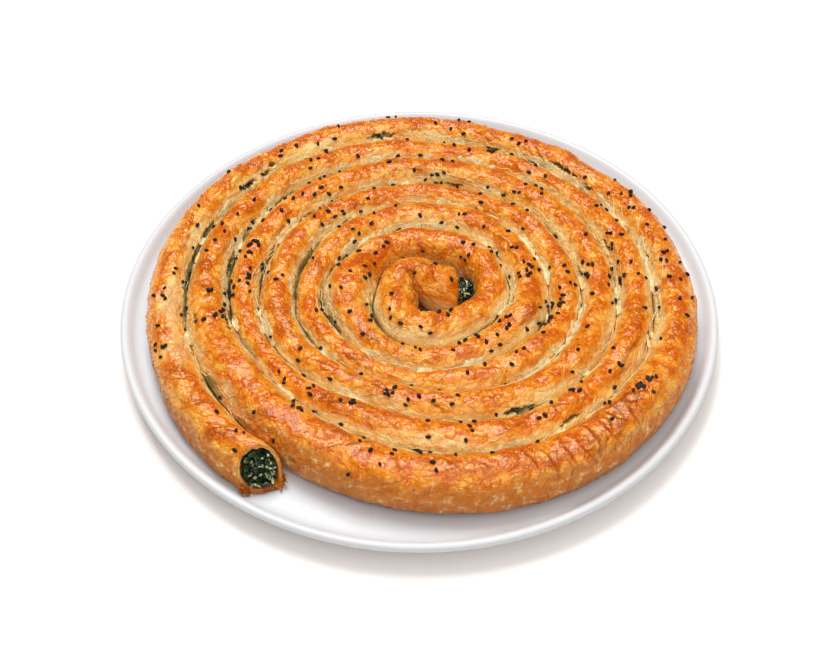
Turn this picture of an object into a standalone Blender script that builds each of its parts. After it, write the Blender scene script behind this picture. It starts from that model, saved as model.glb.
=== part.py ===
"""Spanakopita pie: one long filled pastry roll laid in a flat coil on its round plate.

Three sub-parts in metres, +Z up, with the origin under the middle of the plate:
the glazed plate, the hollow pastry roll, and the spinach and feta filling inside it,
which shows at the roll's two open ends.
"""
import math

import bmesh
import bpy
from mathutils import Vector

# ---------------------------------------------------------------- plate
PLATE_RADIUS = 0.175
PLATE_HEIGHT = 0.017
WELL_HEIGHT = 0.011
WELL_RADIUS = 0.162
FOOT_RADIUS = 0.108
FOOT_WIDTH = 0.005
FOOT_HEIGHT = 0.005
PLATE_SEGMENTS = 64

# ---------------------------------------------------------------- coil, seen from above
COIL_CENTRE = Vector((0.010, -0.0007))
REST_GAP = 0.0003
TURN_GAP = 0.0006
FIRST_TURN = -0.5
LAST_TURN = 5.647
STEPS_PER_TURN = 24
GROOVE_START = 0.0252
PITCH = 0.0210
# Every groove leans from a true spiral: sideways and lengthways by the first pair,
# oval by the second pair, each as (at the middle, added with every turn outwards).
LEAN_X = (-0.0039, -0.0001)
LEAN_Y = (0.0012, -0.0003)
OVAL = (0.0007, 0.0)
OVAL_SKEW = (0.0006, -0.0004)
# Where the hand that coiled the roll pushed a groove in (-) or let it out (+):
# turn, metres, and how far along the coil it reaches, in turns.
HAND_PUSHES = (
    (-0.45, -0.0085, 0.08),
    (0.50, -0.0040, 0.07),
    (0.70, 0.0050, 0.09),
    (1.50, 0.0050, 0.07),
    (1.95, 0.0030, 0.08),
    (2.20, 0.0020, 0.10),
    (2.70, -0.0080, 0.09),
    (3.25, -0.0020, 0.10),
    (3.68, -0.0100, 0.09),
    (4.62, -0.0100, 0.12),
    (5.20, -0.0030, 0.12),
    (5.78, 0.0060, 0.09),
    (5.92, 0.0060, 0.09),
    (6.20, -0.0035, 0.10),
    (6.60, 0.0025, 0.10),
)

# ---------------------------------------------------------------- roll
SECTION_POINTS = 11
CORE_POINTS = 7
WALL = 0.003
CORE_GAP = 0.0004
CROWN_BASE = 0.0125
CROWN_PER_WIDTH = 0.58
CORE_RECESS = 0.0012

# The inner end folds back into the hole in the middle and stops in an open knob.
# x, y from the coil's centre, half width and height of the roll there.
INNER_HOOK = (
    (0.0140, 0.0005, 0.0095, 0.0225),
    (0.0075, 0.0015, 0.0115, 0.0260),
    (0.0010, 0.0048, 0.0112, 0.0265),
    (-0.0060, 0.0112, 0.0095, 0.0255),
    (-0.0135, 0.0145, 0.0090, 0.0260),
    (-0.0210, 0.0114, 0.0093, 0.0265),
    (-0.0240, 0.0040, 0.0105, 0.0260),
)
HOOK_STEPS = 2

# The outer end leaves the coil a little, and is cut on a slant that faces up and out.
END_LEAVES = 0.002
END_BLEND = 0.11
CUT_HEADING = math.radians(-74.0)
CUT_LEAN = math.tan(math.radians(30.0))
END_HALF_WIDTH = 0.0128
END_HEIGHT = 0.0245


def clear_objects():
    for old in list(bpy.data.objects):
        bpy.data.objects.remove(old, do_unlink=True)


def make_material(name, color, roughness, metallic=0.0):
    material = bpy.data.materials.new(name)
    material.use_nodes = True
    shader = material.node_tree.nodes["Principled BSDF"]
    shader.inputs["Base Color"].default_value = (*color, 1.0)
    shader.inputs["Roughness"].default_value = roughness
    shader.inputs["Metallic"].default_value = metallic
    material.diffuse_color = (*color, 1.0)
    return material


def add_object(name, bm, material, crease_degrees):
    bmesh.ops.recalc_face_normals(bm, faces=bm.faces)
    mesh = bpy.data.meshes.new(name)
    bm.to_mesh(mesh)
    bm.free()
    mesh.shade_smooth()
    mesh.set_sharp_from_angle(angle=math.radians(crease_degrees))
    mesh.materials.append(material)
    piece = bpy.data.objects.new(name, mesh)
    bpy.context.scene.collection.objects.link(piece)
    return piece


# ---------------------------------------------------------------- plate

def plate_profile():
    """Radius and height from the underside's middle, round the lip, to the well's middle."""
    foot_in = FOOT_RADIUS - FOOT_WIDTH
    lip = PLATE_RADIUS
    top = PLATE_HEIGHT
    return (
        (0.0, FOOT_HEIGHT),
        (foot_in - 0.002, FOOT_HEIGHT),
        (foot_in, 0.0),
        (FOOT_RADIUS, 0.0),
        (FOOT_RADIUS + 0.003, FOOT_HEIGHT - 0.001),
        (lip - 0.033, FOOT_HEIGHT + 0.0012),
        (lip - 0.007, top - 0.0072),
        (lip - 0.0014, top - 0.0054),
        (lip, top - 0.003),
        (lip - 0.0008, top - 0.0008),
        (lip - 0.0028, top),
        (lip - 0.0050, top - 0.0010),
        (lip - 0.0065, top - 0.0034),
        (lip - 0.0090, WELL_HEIGHT + 0.0005),
        (WELL_RADIUS, WELL_HEIGHT),
        (0.0, WELL_HEIGHT),
    )


def make_plate():
    bm = bmesh.new()
    line = [bm.verts.new((radius, 0.0, height)) for radius, height in plate_profile()]
    edges = [bm.edges.new(pair) for pair in zip(line, line[1:])]
    bmesh.ops.spin(
        bm,
        geom=line + edges,
        cent=(0.0, 0.0, 0.0),
        axis=(0.0, 0.0, 1.0),
        angle=2.0 * math.pi,
        steps=PLATE_SEGMENTS,
    )
    bmesh.ops.remove_doubles(bm, verts=bm.verts, dist=0.00002)
    glaze = make_material("white_glaze", (0.86, 0.86, 0.87), 0.12)
    return add_object("serving_plate", bm, glaze, 50.0)


# ---------------------------------------------------------------- coil

def groove_radius(turn):
    """Distance from the coil's centre to the groove on the roll's inner side."""
    angle = 2.0 * math.pi * turn
    radius = GROOVE_START + PITCH * turn
    radius += (LEAN_X[0] + LEAN_X[1] * turn) * math.cos(angle)
    radius += (LEAN_Y[0] + LEAN_Y[1] * turn) * math.sin(angle)
    radius += (OVAL[0] + OVAL[1] * turn) * math.cos(2.0 * angle)
    radius += (OVAL_SKEW[0] + OVAL_SKEW[1] * turn) * math.sin(2.0 * angle)
    for place, push, reach in HAND_PUSHES:
        radius += push * math.exp(-(((turn - place) / reach) ** 2))
    return radius


def crown_height(half_width):
    """A wide roll also stands taller."""
    return CROWN_BASE + CROWN_PER_WIDTH * 2.0 * half_width


def coil_station(turn):
    """Centre, outward direction, half width and height of the roll at a turn."""
    angle = 2.0 * math.pi * turn
    outward = Vector((math.cos(angle), math.sin(angle)))
    inner = groove_radius(turn) + TURN_GAP / 2.0
    outer = groove_radius(turn + 1.0) - TURN_GAP / 2.0
    half_width = (outer - inner) / 2.0
    centre = COIL_CENTRE + outward * (inner + outer) / 2.0
    height = crown_height(half_width)
    lean = 0.0

    left = LAST_TURN - turn
    if left < END_BLEND:
        share = 1.0 - left / END_BLEND
        share = share * share * (3.0 - 2.0 * share)
        cut_outward = Vector((math.sin(CUT_HEADING), -math.cos(CUT_HEADING)))
        centre = centre + outward * (END_LEAVES * share)
        outward = outward.lerp(cut_outward, share).normalized()
        half_width += (END_HALF_WIDTH - half_width) * share
        height += (END_HEIGHT - height) * share
        lean = CUT_LEAN * share
    return centre, outward, half_width, height, lean


def smooth_between(before, start, end, after, share):
    """Catmull-Rom blend of four equal-length tuples."""
    values = []
    for a, b, c, d in zip(before, start, end, after):
        linear = c - a
        square = 2.0 * a - 5.0 * b + 4.0 * c - d
        cube = 3.0 * b - a - 3.0 * c + d
        values.append(b + 0.5 * share * (linear + share * (square + share * cube)))
    return values


def hook_stations():
    """The folded inner end, from its open knob to where the coil proper begins."""
    centre, outward, half_width, height, lean = coil_station(FIRST_TURN)
    joint = centre - COIL_CENTRE
    first_step = coil_station(FIRST_TURN + 1.0 / STEPS_PER_TURN)[0] - COIL_CENTRE
    points = list(INNER_HOOK)
    points.append((joint.x, joint.y, half_width, height))
    points.append((first_step.x, first_step.y, half_width, height))
    points.insert(0, tuple(2.0 * a - b for a, b in zip(points[0], points[1])))

    samples = []
    for index in range(1, len(points) - 2):
        for step in range(HOOK_STEPS):
            samples.append(smooth_between(*points[index - 1:index + 3], step / HOOK_STEPS))
    samples.append(points[-2])

    stations = []
    for index in range(len(samples) - 1):
        ahead = Vector(samples[index + 1][:2])
        behind = Vector(samples[max(index - 1, 0)][:2])
        heading = (ahead - behind).normalized()
        side = Vector((heading.y, -heading.x))
        spot = COIL_CENTRE + Vector(samples[index][:2])
        stations.append((spot, side, samples[index][2], samples[index][3], 0.0))
    return stations


def all_stations():
    stations = hook_stations()
    turn = FIRST_TURN
    while turn < LAST_TURN - 0.25 / STEPS_PER_TURN:
        stations.append(coil_station(turn))
        turn += 1.0 / STEPS_PER_TURN
    stations.append(coil_station(LAST_TURN))
    return stations


def section_outline(half_width, height, inset, count):
    """Across and up values of a loaf-shaped section: round crown, flat base."""
    waist = 0.46 * height
    outline = []
    for index in range(count):
        angle = math.radians(-90.0 + 360.0 * (index + 0.5) / count)
        side = math.cos(angle)
        rise = math.sin(angle)
        across = (half_width - inset) * math.copysign(abs(side) ** 0.82, side)
        if rise > 0.0:
            up = waist + (height - inset - waist) * rise ** 0.92
        else:
            up = waist - (waist - inset) * min(1.0, 1.03 * abs(rise) ** 0.35)
        outline.append((across, up))
    return outline


def add_rings(bm, stations, inset, count):
    """One ring of vertices per station, leaned where the end is cut on a slant."""
    base = WELL_HEIGHT + REST_GAP
    rings = []
    for centre, outward, half_width, height, lean in stations:
        heading = Vector((-outward.y, outward.x))
        ring = []
        for across, up in section_outline(half_width, height, inset, count):
            along = -lean * (up - height / 2.0)
            spot = centre + outward * across + heading * along
            ring.append(bm.verts.new((spot.x, spot.y, base + up)))
        rings.append(ring)
    return rings


def skin_rings(bm, rings):
    """Triangles with one diagonal throughout, so nested skins keep their distance."""
    for near, far in zip(rings, rings[1:]):
        for index in range(len(near)):
            follow = (index + 1) % len(near)
            bm.faces.new((near[index], near[follow], far[follow]))
            bm.faces.new((near[index], far[follow], far[index]))


def stitch_rings(bm, outer, inner):
    """Close the pastry's cut edge between its outside and its inside."""
    done_out = 0
    done_in = 0
    while done_out < len(outer) or done_in < len(inner):
        here_out = outer[done_out % len(outer)]
        here_in = inner[done_in % len(inner)]
        if (done_out + 1) / len(outer) <= (done_in + 1) / len(inner):
            done_out += 1
            bm.faces.new((here_out, outer[done_out % len(outer)], here_in))
        else:
            done_in += 1
            bm.faces.new((here_out, inner[done_in % len(inner)], here_in))


def make_pastry(stations):
    bm = bmesh.new()
    outside = add_rings(bm, stations, 0.0, SECTION_POINTS)
    inside = add_rings(bm, stations, WALL, CORE_POINTS)
    skin_rings(bm, outside)
    skin_rings(bm, inside)
    stitch_rings(bm, outside[0], inside[0])
    stitch_rings(bm, outside[-1], inside[-1])
    crust = make_material("baked_phyllo", (0.86, 0.47, 0.17), 0.32)
    return add_object("pastry_coil", bm, crust, 60.0)


def draw_back(ring, next_ring, distance):
    """Pull an end ring back along the roll."""
    for vertex, neighbour in zip(ring, next_ring):
        vertex.co += (neighbour.co - vertex.co).normalized() * distance


def make_filling(stations):
    bm = bmesh.new()
    rings = add_rings(bm, stations, WALL + CORE_GAP, CORE_POINTS)
    draw_back(rings[0], rings[1], CORE_RECESS)
    draw_back(rings[-1], rings[-2], CORE_RECESS)
    skin_rings(bm, rings)
    bm.faces.new(rings[0])
    bm.faces.new(rings[-1])
    greens = make_material("spinach_and_feta", (0.07, 0.12, 0.05), 0.40)
    return add_object("spinach_filling", bm, greens, 60.0)


def main():
    clear_objects()
    stations = all_stations()
    make_plate()
    make_pastry(stations)
    make_filling(stations)


main()
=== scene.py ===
import math
import bpy
import numpy as np
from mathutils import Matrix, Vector


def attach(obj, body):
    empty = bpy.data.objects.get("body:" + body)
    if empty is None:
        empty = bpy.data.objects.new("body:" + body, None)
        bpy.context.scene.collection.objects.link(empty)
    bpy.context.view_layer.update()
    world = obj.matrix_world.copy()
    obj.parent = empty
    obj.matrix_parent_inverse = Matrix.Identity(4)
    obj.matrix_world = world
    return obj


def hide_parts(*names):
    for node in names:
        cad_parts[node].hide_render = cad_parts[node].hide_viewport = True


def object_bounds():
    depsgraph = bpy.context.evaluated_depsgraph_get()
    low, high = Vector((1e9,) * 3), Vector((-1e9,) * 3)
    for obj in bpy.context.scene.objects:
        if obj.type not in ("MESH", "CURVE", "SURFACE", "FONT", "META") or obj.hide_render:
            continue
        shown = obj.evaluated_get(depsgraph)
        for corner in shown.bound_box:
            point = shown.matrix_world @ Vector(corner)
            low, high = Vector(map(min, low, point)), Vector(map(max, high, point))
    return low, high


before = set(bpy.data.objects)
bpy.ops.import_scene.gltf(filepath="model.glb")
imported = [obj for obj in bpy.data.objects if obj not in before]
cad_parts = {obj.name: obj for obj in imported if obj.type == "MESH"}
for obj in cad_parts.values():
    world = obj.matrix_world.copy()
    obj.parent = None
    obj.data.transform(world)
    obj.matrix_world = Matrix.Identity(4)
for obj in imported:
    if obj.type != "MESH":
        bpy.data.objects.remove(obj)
cadLow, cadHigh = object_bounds()
print("frame loaded", [round(v, 4) for v in cadHigh - cadLow])

mm = 0.001
upwards = np.array([0.0, 0.0, 1.0])


# small number helpers

def smoothStep(low, high, x):
    t = np.clip((x - low) / (high - low), 0.0, 1.0)
    return t * t * (3.0 - 2.0 * t)


def blend(a, b, share):
    return a + (b - a) * share


def hump(x, middle, reach):
    return np.exp(-(((x - middle) / reach) ** 2))


def unit(vectors):
    size = np.linalg.norm(vectors, axis=-1, keepdims=True)
    return vectors / np.maximum(size, 1e-12)


def raiseTo(field, rows, values):
    field[rows] = np.maximum(field[rows], values)


def cellHash(iu, iv, seed):
    n = (iu.astype(np.int64) * 374761393 + iv.astype(np.int64) * 668265263 + seed * 974711) & 0xFFFFFFFF
    n = ((n ^ (n >> 13)) * 1274126177) & 0xFFFFFFFF
    n = n ^ (n >> 16)
    return (n & 0xFFFFFF) / float(0xFFFFFF)


def waveNoise(u, v, seed):
    # smooth value noise from -1 to 1
    iu = np.floor(u)
    iv = np.floor(v)
    fu = u - iu
    fv = v - iv
    fu = fu * fu * fu * (fu * (fu * 6.0 - 15.0) + 10.0)
    fv = fv * fv * fv * (fv * (fv * 6.0 - 15.0) + 10.0)
    low = blend(cellHash(iu, iv, seed), cellHash(iu + 1, iv, seed), fu)
    high = blend(cellHash(iu, iv + 1, seed), cellHash(iu + 1, iv + 1, seed), fu)
    return blend(low, high, fv) * 2.0 - 1.0


def lineNoise(u, seed):
    return waveNoise(u, u * 0.0, seed)


def layeredNoise(u, v, seed, layers=3):
    total = 0.0
    size = 1.0
    for layer in range(layers):
        total = total + waveNoise(u * 2.03 ** layer, v * 2.03 ** layer, seed + 17 * layer) * size
        size *= 0.5
    return total / 1.6


def cellNoise(u, v, seed):
    # nearest and second nearest cell distance, the cell's own number, and the offset from its middle
    iu = np.floor(u)
    iv = np.floor(v)
    near = np.full(u.shape, 9.0)
    second = np.full(u.shape, 9.0)
    own = np.zeros(u.shape)
    offU = np.zeros(u.shape)
    offV = np.zeros(u.shape)
    for stepU in (-1, 0, 1):
        for stepV in (-1, 0, 1):
            cu = iu + stepU
            cv = iv + stepV
            du = u - (cu + 0.1 + 0.8 * cellHash(cu, cv, seed + 1))
            dv = v - (cv + 0.1 + 0.8 * cellHash(cu, cv, seed + 2))
            away = np.sqrt(du * du + dv * dv)
            closer = away < near
            second = np.where(closer, near, np.minimum(second, away))
            own = np.where(closer, cellHash(cu, cv, seed + 3), own)
            offU = np.where(closer, du, offU)
            offV = np.where(closer, dv, offV)
            near = np.where(closer, away, near)
    return near, second, own, offU, offV


# mesh helpers

def makePiece(name, points, faces, material, normals=None, attributes=None):
    mesh = bpy.data.meshes.new(name)
    points, faces = (
        part.tolist() if isinstance(part, np.ndarray) else part for part in (points, faces))
    mesh.from_pydata(points, [], faces)
    for key, values in (attributes or {}).items():
        kind = "FLOAT_VECTOR" if values.ndim == 2 else "FLOAT"
        data = mesh.attributes.new(key, kind, "POINT").data
        data.foreach_set("vector" if values.ndim == 2 else "value", values.astype(np.float32).ravel())
    mesh.update()
    mesh.shade_smooth()
    if normals is not None:
        mesh.normals_split_custom_set_from_vertices(normals)
    mesh.materials.append(material)
    piece = bpy.data.objects.new(name, mesh)
    bpy.context.scene.collection.objects.link(piece)
    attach(piece, "root")
    return piece


def gridFaces(rows, columns, closeRound=True):
    # quads between rows of points; each row is a closed ring when closeRound is set
    last = columns if closeRound else columns - 1
    a = np.arange(rows - 1)[:, None] * columns + np.arange(last)[None, :]
    b = np.arange(rows - 1)[:, None] * columns + (np.arange(last)[None, :] + 1) % columns
    return np.stack([a, a + columns, b + columns, b], -1).reshape(-1, 4)


def placeCopies(shapePoints, shapeFaces, places, frames, sizes):
    # one mesh of many copies: frames are (count, 3, 3) with the axes as rows
    scaled = shapePoints[None, :, :] * sizes[:, None, :]
    points = np.einsum("kpi,kij->kpj", scaled, frames) + places[:, None, :]
    count = len(shapePoints)
    faces = shapeFaces[None, :, :] + (np.arange(len(places)) * count)[:, None, None]
    return points.reshape(-1, 3), faces.reshape(-1, shapeFaces.shape[1])


def closedShape(around, levels, ringPoint):
    # rings of points between two tips: ringPoint gives the place of point j on ring k
    points = [ringPoint(k, j) for k in range(1, levels) for j in range(around)]
    faces = []
    tip = len(points) + 1
    for j in range(around):
        after = (j + 1) % around
        faces.append((0, 1 + after, 1 + j))
        faces.append((tip, tip - around + j, tip - around + after))
        for k in range(levels - 2):
            low = 1 + k * around
            faces.append((low + j, low + after, low + around + after))
            faces.append((low + j, low + around + after, low + around + j))
    return points, np.array(faces)


# node helpers

def newMaterial(name):
    material = bpy.data.materials.new(name)
    material.use_nodes = True
    return material, material.node_tree, material.node_tree.nodes["Principled BSDF"]


def feed(tree, node, inputs):
    # link sockets and set plain values; a colour may leave out its alpha
    for key, value in inputs.items():
        socket = node.inputs[key]
        if isinstance(value, bpy.types.NodeSocket):
            tree.links.new(value, socket)
        elif socket.type == "RGBA" and len(value) == 3:
            socket.default_value = (*value, 1.0)
        else:
            socket.default_value = value


def addNode(tree, kind, settings=None, inputs=None):
    node = tree.nodes.new(kind)
    for key, value in (settings or {}).items():
        setattr(node, key, value)
    feed(tree, node, inputs or {})
    return node


def addNoise(tree, vector, scale, detail, **more):
    inputs = {"Vector": vector, "Scale": scale, "Detail": detail}
    inputs.update({key.capitalize(): value for key, value in more.items()})
    return addNode(tree, "ShaderNodeTexNoise", None, inputs)


def mixColor(tree, share, first, second):
    inputs = {0: share, 6: first, 7: second}
    return addNode(tree, "ShaderNodeMix", {"data_type": "RGBA"}, inputs).outputs[2]


def doMath(tree, operation, first, second, clamp=False):
    settings = {"operation": operation, "use_clamp": clamp}
    return addNode(tree, "ShaderNodeMath", settings, {0: first, 1: second}).outputs[0]


def times(tree, first, second):
    return doMath(tree, "MULTIPLY", first, second)


def plus(tree, first, second):
    return doMath(tree, "ADD", first, second)


def vectorMath(tree, operation, *values):
    node = addNode(tree, "ShaderNodeVectorMath", {"operation": operation}, dict(enumerate(values)))
    return node.outputs["Value" if operation in ("DOT_PRODUCT", "LENGTH") else "Vector"]


def scaleVector(tree, vector, scale):
    inputs = {0: vector, "Scale": scale}
    return addNode(tree, "ShaderNodeVectorMath", {"operation": "SCALE"}, inputs).outputs[0]


def remap(tree, value, low, high, outLow=0.0, outHigh=1.0):
    node = addNode(tree, "ShaderNodeMapRange", {"interpolation_type": "SMOOTHSTEP"}, {
        "Value": value, "From Min": low, "From Max": high, "To Min": outLow, "To Max": outHigh})
    return node.outputs["Result"]


def readAttribute(tree, name, output="Fac"):
    return addNode(tree, "ShaderNodeAttribute", {"attribute_name": name}).outputs[output]


def objectPlace(tree):
    return addNode(tree, "ShaderNodeTexCoord").outputs["Object"]


def placeInMm(tree):
    return scaleVector(tree, objectPlace(tree), 1.0 / mm)


def addBump(tree, shader, strength, distance, height):
    bump = addNode(tree, "ShaderNodeBump", None, {
        "Strength": strength, "Distance": distance, "Height": height})
    tree.links.new(bump.outputs["Normal"], shader.inputs["Normal"])


def startGroup(name, inputs, outputs):
    group = bpy.data.node_groups.new(name, "ShaderNodeTree")
    for label, kind, value in inputs:
        socket = group.interface.new_socket(name=label, in_out="INPUT", socket_type="NodeSocket" + kind)
        if value is not None:
            socket.default_value = value
    for label, kind in outputs:
        group.interface.new_socket(name=label, in_out="OUTPUT", socket_type="NodeSocket" + kind)
    return group, group.nodes.new("NodeGroupInput").outputs, group.nodes.new("NodeGroupOutput")


def useGroup(tree, group, inputs):
    return addNode(tree, "ShaderNodeGroup", {"node_tree": group}, inputs).outputs


# camera, at the height and distance from which the pie is looked at

cameraSet = {"elevation": 47.63, "distance": 1.0, "lens": 73.1, "target": (0.0004, -0.015, 0.008)}


def makeCamera():
    tilt = math.radians(cameraSet["elevation"])
    data = bpy.data.cameras.new("camera")
    data.lens = cameraSet["lens"]
    data.sensor_width = 36.0
    camera = bpy.data.objects.new("camera", data)
    bpy.context.scene.collection.objects.link(camera)
    away = Vector((0.0, -math.cos(tilt), math.sin(tilt))) * cameraSet["distance"]
    camera.location = Vector(cameraSet["target"]) + away
    camera.rotation_euler = (math.pi / 2.0 - tilt, 0.0, 0.0)
    bpy.context.scene.camera = camera


makeCamera()
print("camera placed")


# shared finishes

def makeCrepeGroup():
    # fine wrinkles of a thin baked skin: a height, and a mask of the wrinkle tops
    group, given, result = startGroup(
        "crepeSkin",
        [("Vector", "Vector", None), ("Wrinkles per mm", "Float", 0.8), ("Stretch", "Float", 1.0)],
        [("Height", "Float"), ("Tops", "Float")])
    scale = addNode(group, "ShaderNodeCombineXYZ", None, {
        "X": given["Wrinkles per mm"], "Y": times(group, given["Wrinkles per mm"], given["Stretch"]),
        "Z": 1.0}).outputs[0]
    stretched = vectorMath(group, "MULTIPLY", given["Vector"], scale)
    warp = addNoise(group, stretched, 0.55, 2.0).outputs["Color"]
    bent = vectorMath(group, "MULTIPLY_ADD", warp, (2.2, 2.2, 0.0), stretched)
    cells = addNode(group, "ShaderNodeTexVoronoi", {"feature": "DISTANCE_TO_EDGE"}, {
        "Vector": bent, "Scale": 0.9})
    grain = addNode(group, "ShaderNodeTexNoise", {"noise_type": "RIDGED_MULTIFRACTAL"}, {
        "Vector": bent, "Scale": 1.3, "Detail": 3.0, "Roughness": 0.5})
    domes = remap(group, cells.outputs["Distance"], 0.0, 0.32)
    ridges = remap(group, grain.outputs[0], 0.2, 1.6)
    height = plus(group, times(group, domes, 0.55), times(group, ridges, 0.45))
    feed(group, result, {"Height": height, "Tops": ridges})
    return group


def makeMottleGroup():
    # uneven colour from three tones of one baked or glazed surface
    group, given, result = startGroup(
        "ovenMottle",
        [("Vector", "Vector", None), ("Patches per mm", "Float", 0.08),
         ("Pale", "Color", (1, 1, 1, 1)), ("Middle", "Color", (0.5, 0.5, 0.5, 1)),
         ("Deep", "Color", (0, 0, 0, 1)), ("Bias", "Float", 0.0)],
        [("Color", "Color"), ("Tone", "Float")])
    noise = addNoise(group, given["Vector"], given["Patches per mm"], 4.0,
                     roughness=0.62, distortion=0.4).outputs["Fac"]
    tone = plus(group, remap(group, noise, 0.3, 0.7, 0.27, 0.73), given["Bias"])
    color = mixColor(group, remap(group, tone, 0.3, 0.5), given["Pale"], given["Middle"])
    color = mixColor(group, remap(group, tone, 0.52, 0.74), color, given["Deep"])
    feed(group, result, {"Color": color, "Tone": tone})
    return group


def makeFlakeGroup():
    # small overlapping flakes of baked skin: their relief, their edges, and a tone for each
    group, given, result = startGroup(
        "bakedFlakes",
        [("Vector", "Vector", None), ("Flakes per mm", "Float", 0.28), ("Edge Width", "Float", 0.1)],
        [("Height", "Float"), ("Edges", "Float"), ("Tone", "Float")])
    warp = addNoise(group, given["Vector"], 0.22, 2.0).outputs["Color"]
    bent = vectorMath(group, "MULTIPLY_ADD", warp, (7.0, 7.0, 0.0), given["Vector"])
    flat = scaleVector(group, bent, given["Flakes per mm"])
    flat = vectorMath(group, "MULTIPLY", flat, (0.85, 1.1, 0.0))
    cells, edges = (
        addNode(group, "ShaderNodeTexVoronoi", {"voronoi_dimensions": "2D", "feature": feature}, {
            "Vector": flat, "Scale": 1.0}) for feature in ("F1", "DISTANCE_TO_EDGE"))
    rims = edges.outputs["Distance"]
    offset = vectorMath(group, "SUBTRACT", flat, cells.outputs["Position"])
    lean = vectorMath(group, "SUBTRACT", cells.outputs["Color"], (0.5, 0.5, 0.5))
    tilt = vectorMath(group, "DOT_PRODUCT", offset, lean)
    pick = addNode(group, "ShaderNodeSeparateColor", None, {"Color": cells.outputs["Color"]}).outputs[2]
    domes = remap(group, rims, 0.0, 0.3)
    feed(group, result, {
        "Height": plus(group, times(group, tilt, 1.6), times(group, domes, 0.35)),
        "Edges": remap(group, rims, 0.0, given["Edge Width"], 1.0, 0.0),
        "Tone": doMath(group, "ADD", pick, times(group, tilt, 1.8), clamp=True)})
    return group


crepeSkin = makeCrepeGroup()
ovenMottle = makeMottleGroup()
bakedFlakes = makeFlakeGroup()


def addMottle(tree, place, patches, tones, bias=0.0):
    pale, middle, deep = tones
    return useGroup(tree, ovenMottle, {
        "Vector": place, "Patches per mm": patches,
        "Pale": pale, "Middle": middle, "Deep": deep, "Bias": bias})


def addCrepe(tree, place, wrinkles, stretch=1.0):
    return useGroup(tree, crepeSkin, {"Vector": place, "Wrinkles per mm": wrinkles, "Stretch": stretch})


def addFlakes(tree, place, flakes, edgeWidth):
    return useGroup(tree, bakedFlakes, {
        "Vector": place, "Flakes per mm": flakes, "Edge Width": edgeWidth})


# pastry roll

coil = {
    "centre": (0.01, -0.0007),
    "restOn": 0.0113,              # plate's well plus the resting gap
    "firstTurn": -0.5,
    "lastTurn": 5.647,
    "grooveStart": 0.0252,
    "pitch": 0.021,
    "leanX": (-0.0039, -0.0001),
    "leanY": (0.0012, -0.0003),
    "oval": (0.0007, 0.0),
    "ovalSkew": (0.0006, -0.0004),
    # where the hand pushed a groove in or let it out: turn, metres, reach in turns
    "handPushes": [
        (-0.45, -0.0085, 0.08), (0.5, -0.004, 0.07), (0.7, 0.005, 0.09), (1.5, 0.005, 0.07),
        (1.95, 0.003, 0.08), (2.2, 0.002, 0.1), (2.7, -0.008, 0.09), (3.25, -0.002, 0.1),
        (3.68, -0.01, 0.09), (4.62, -0.01, 0.12), (5.2, -0.003, 0.12), (5.78, 0.006, 0.09),
        (5.92, 0.006, 0.09), (6.2, -0.0035, 0.1), (6.6, 0.0025, 0.1)],
    # folded inner end: x, y from the coil's centre, half width, height
    "innerHook": [
        (0.0142, 0.003, 0.0112, 0.025), (0.0085, 0.0036, 0.0132, 0.0272),
        (0.0016, 0.0062, 0.0124, 0.0275), (-0.006, 0.0116, 0.0098, 0.0262),
        (-0.0135, 0.0145, 0.009, 0.026), (-0.021, 0.0114, 0.0093, 0.0265),
        (-0.024, 0.004, 0.0105, 0.026)],
    "crownBase": 0.0118,
    "crownPerWidth": 0.57,
    "endLeaves": 0.002,
    "endBlend": 0.11,
    "cutHeading": math.radians(-74),
    "cutLean": math.tan(math.radians(30)),
    "endHalfWidth": 0.0126,
    "endHeight": 0.0242,
    "topSoftness": 0.0007,
    "topRoom": 0.0006,             # kept free under the part's highest point
    "turnGap": 0.00005,            # half the gap between two turns
    "stations": 9000,              # fine steps from which the even rings are taken
}

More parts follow.
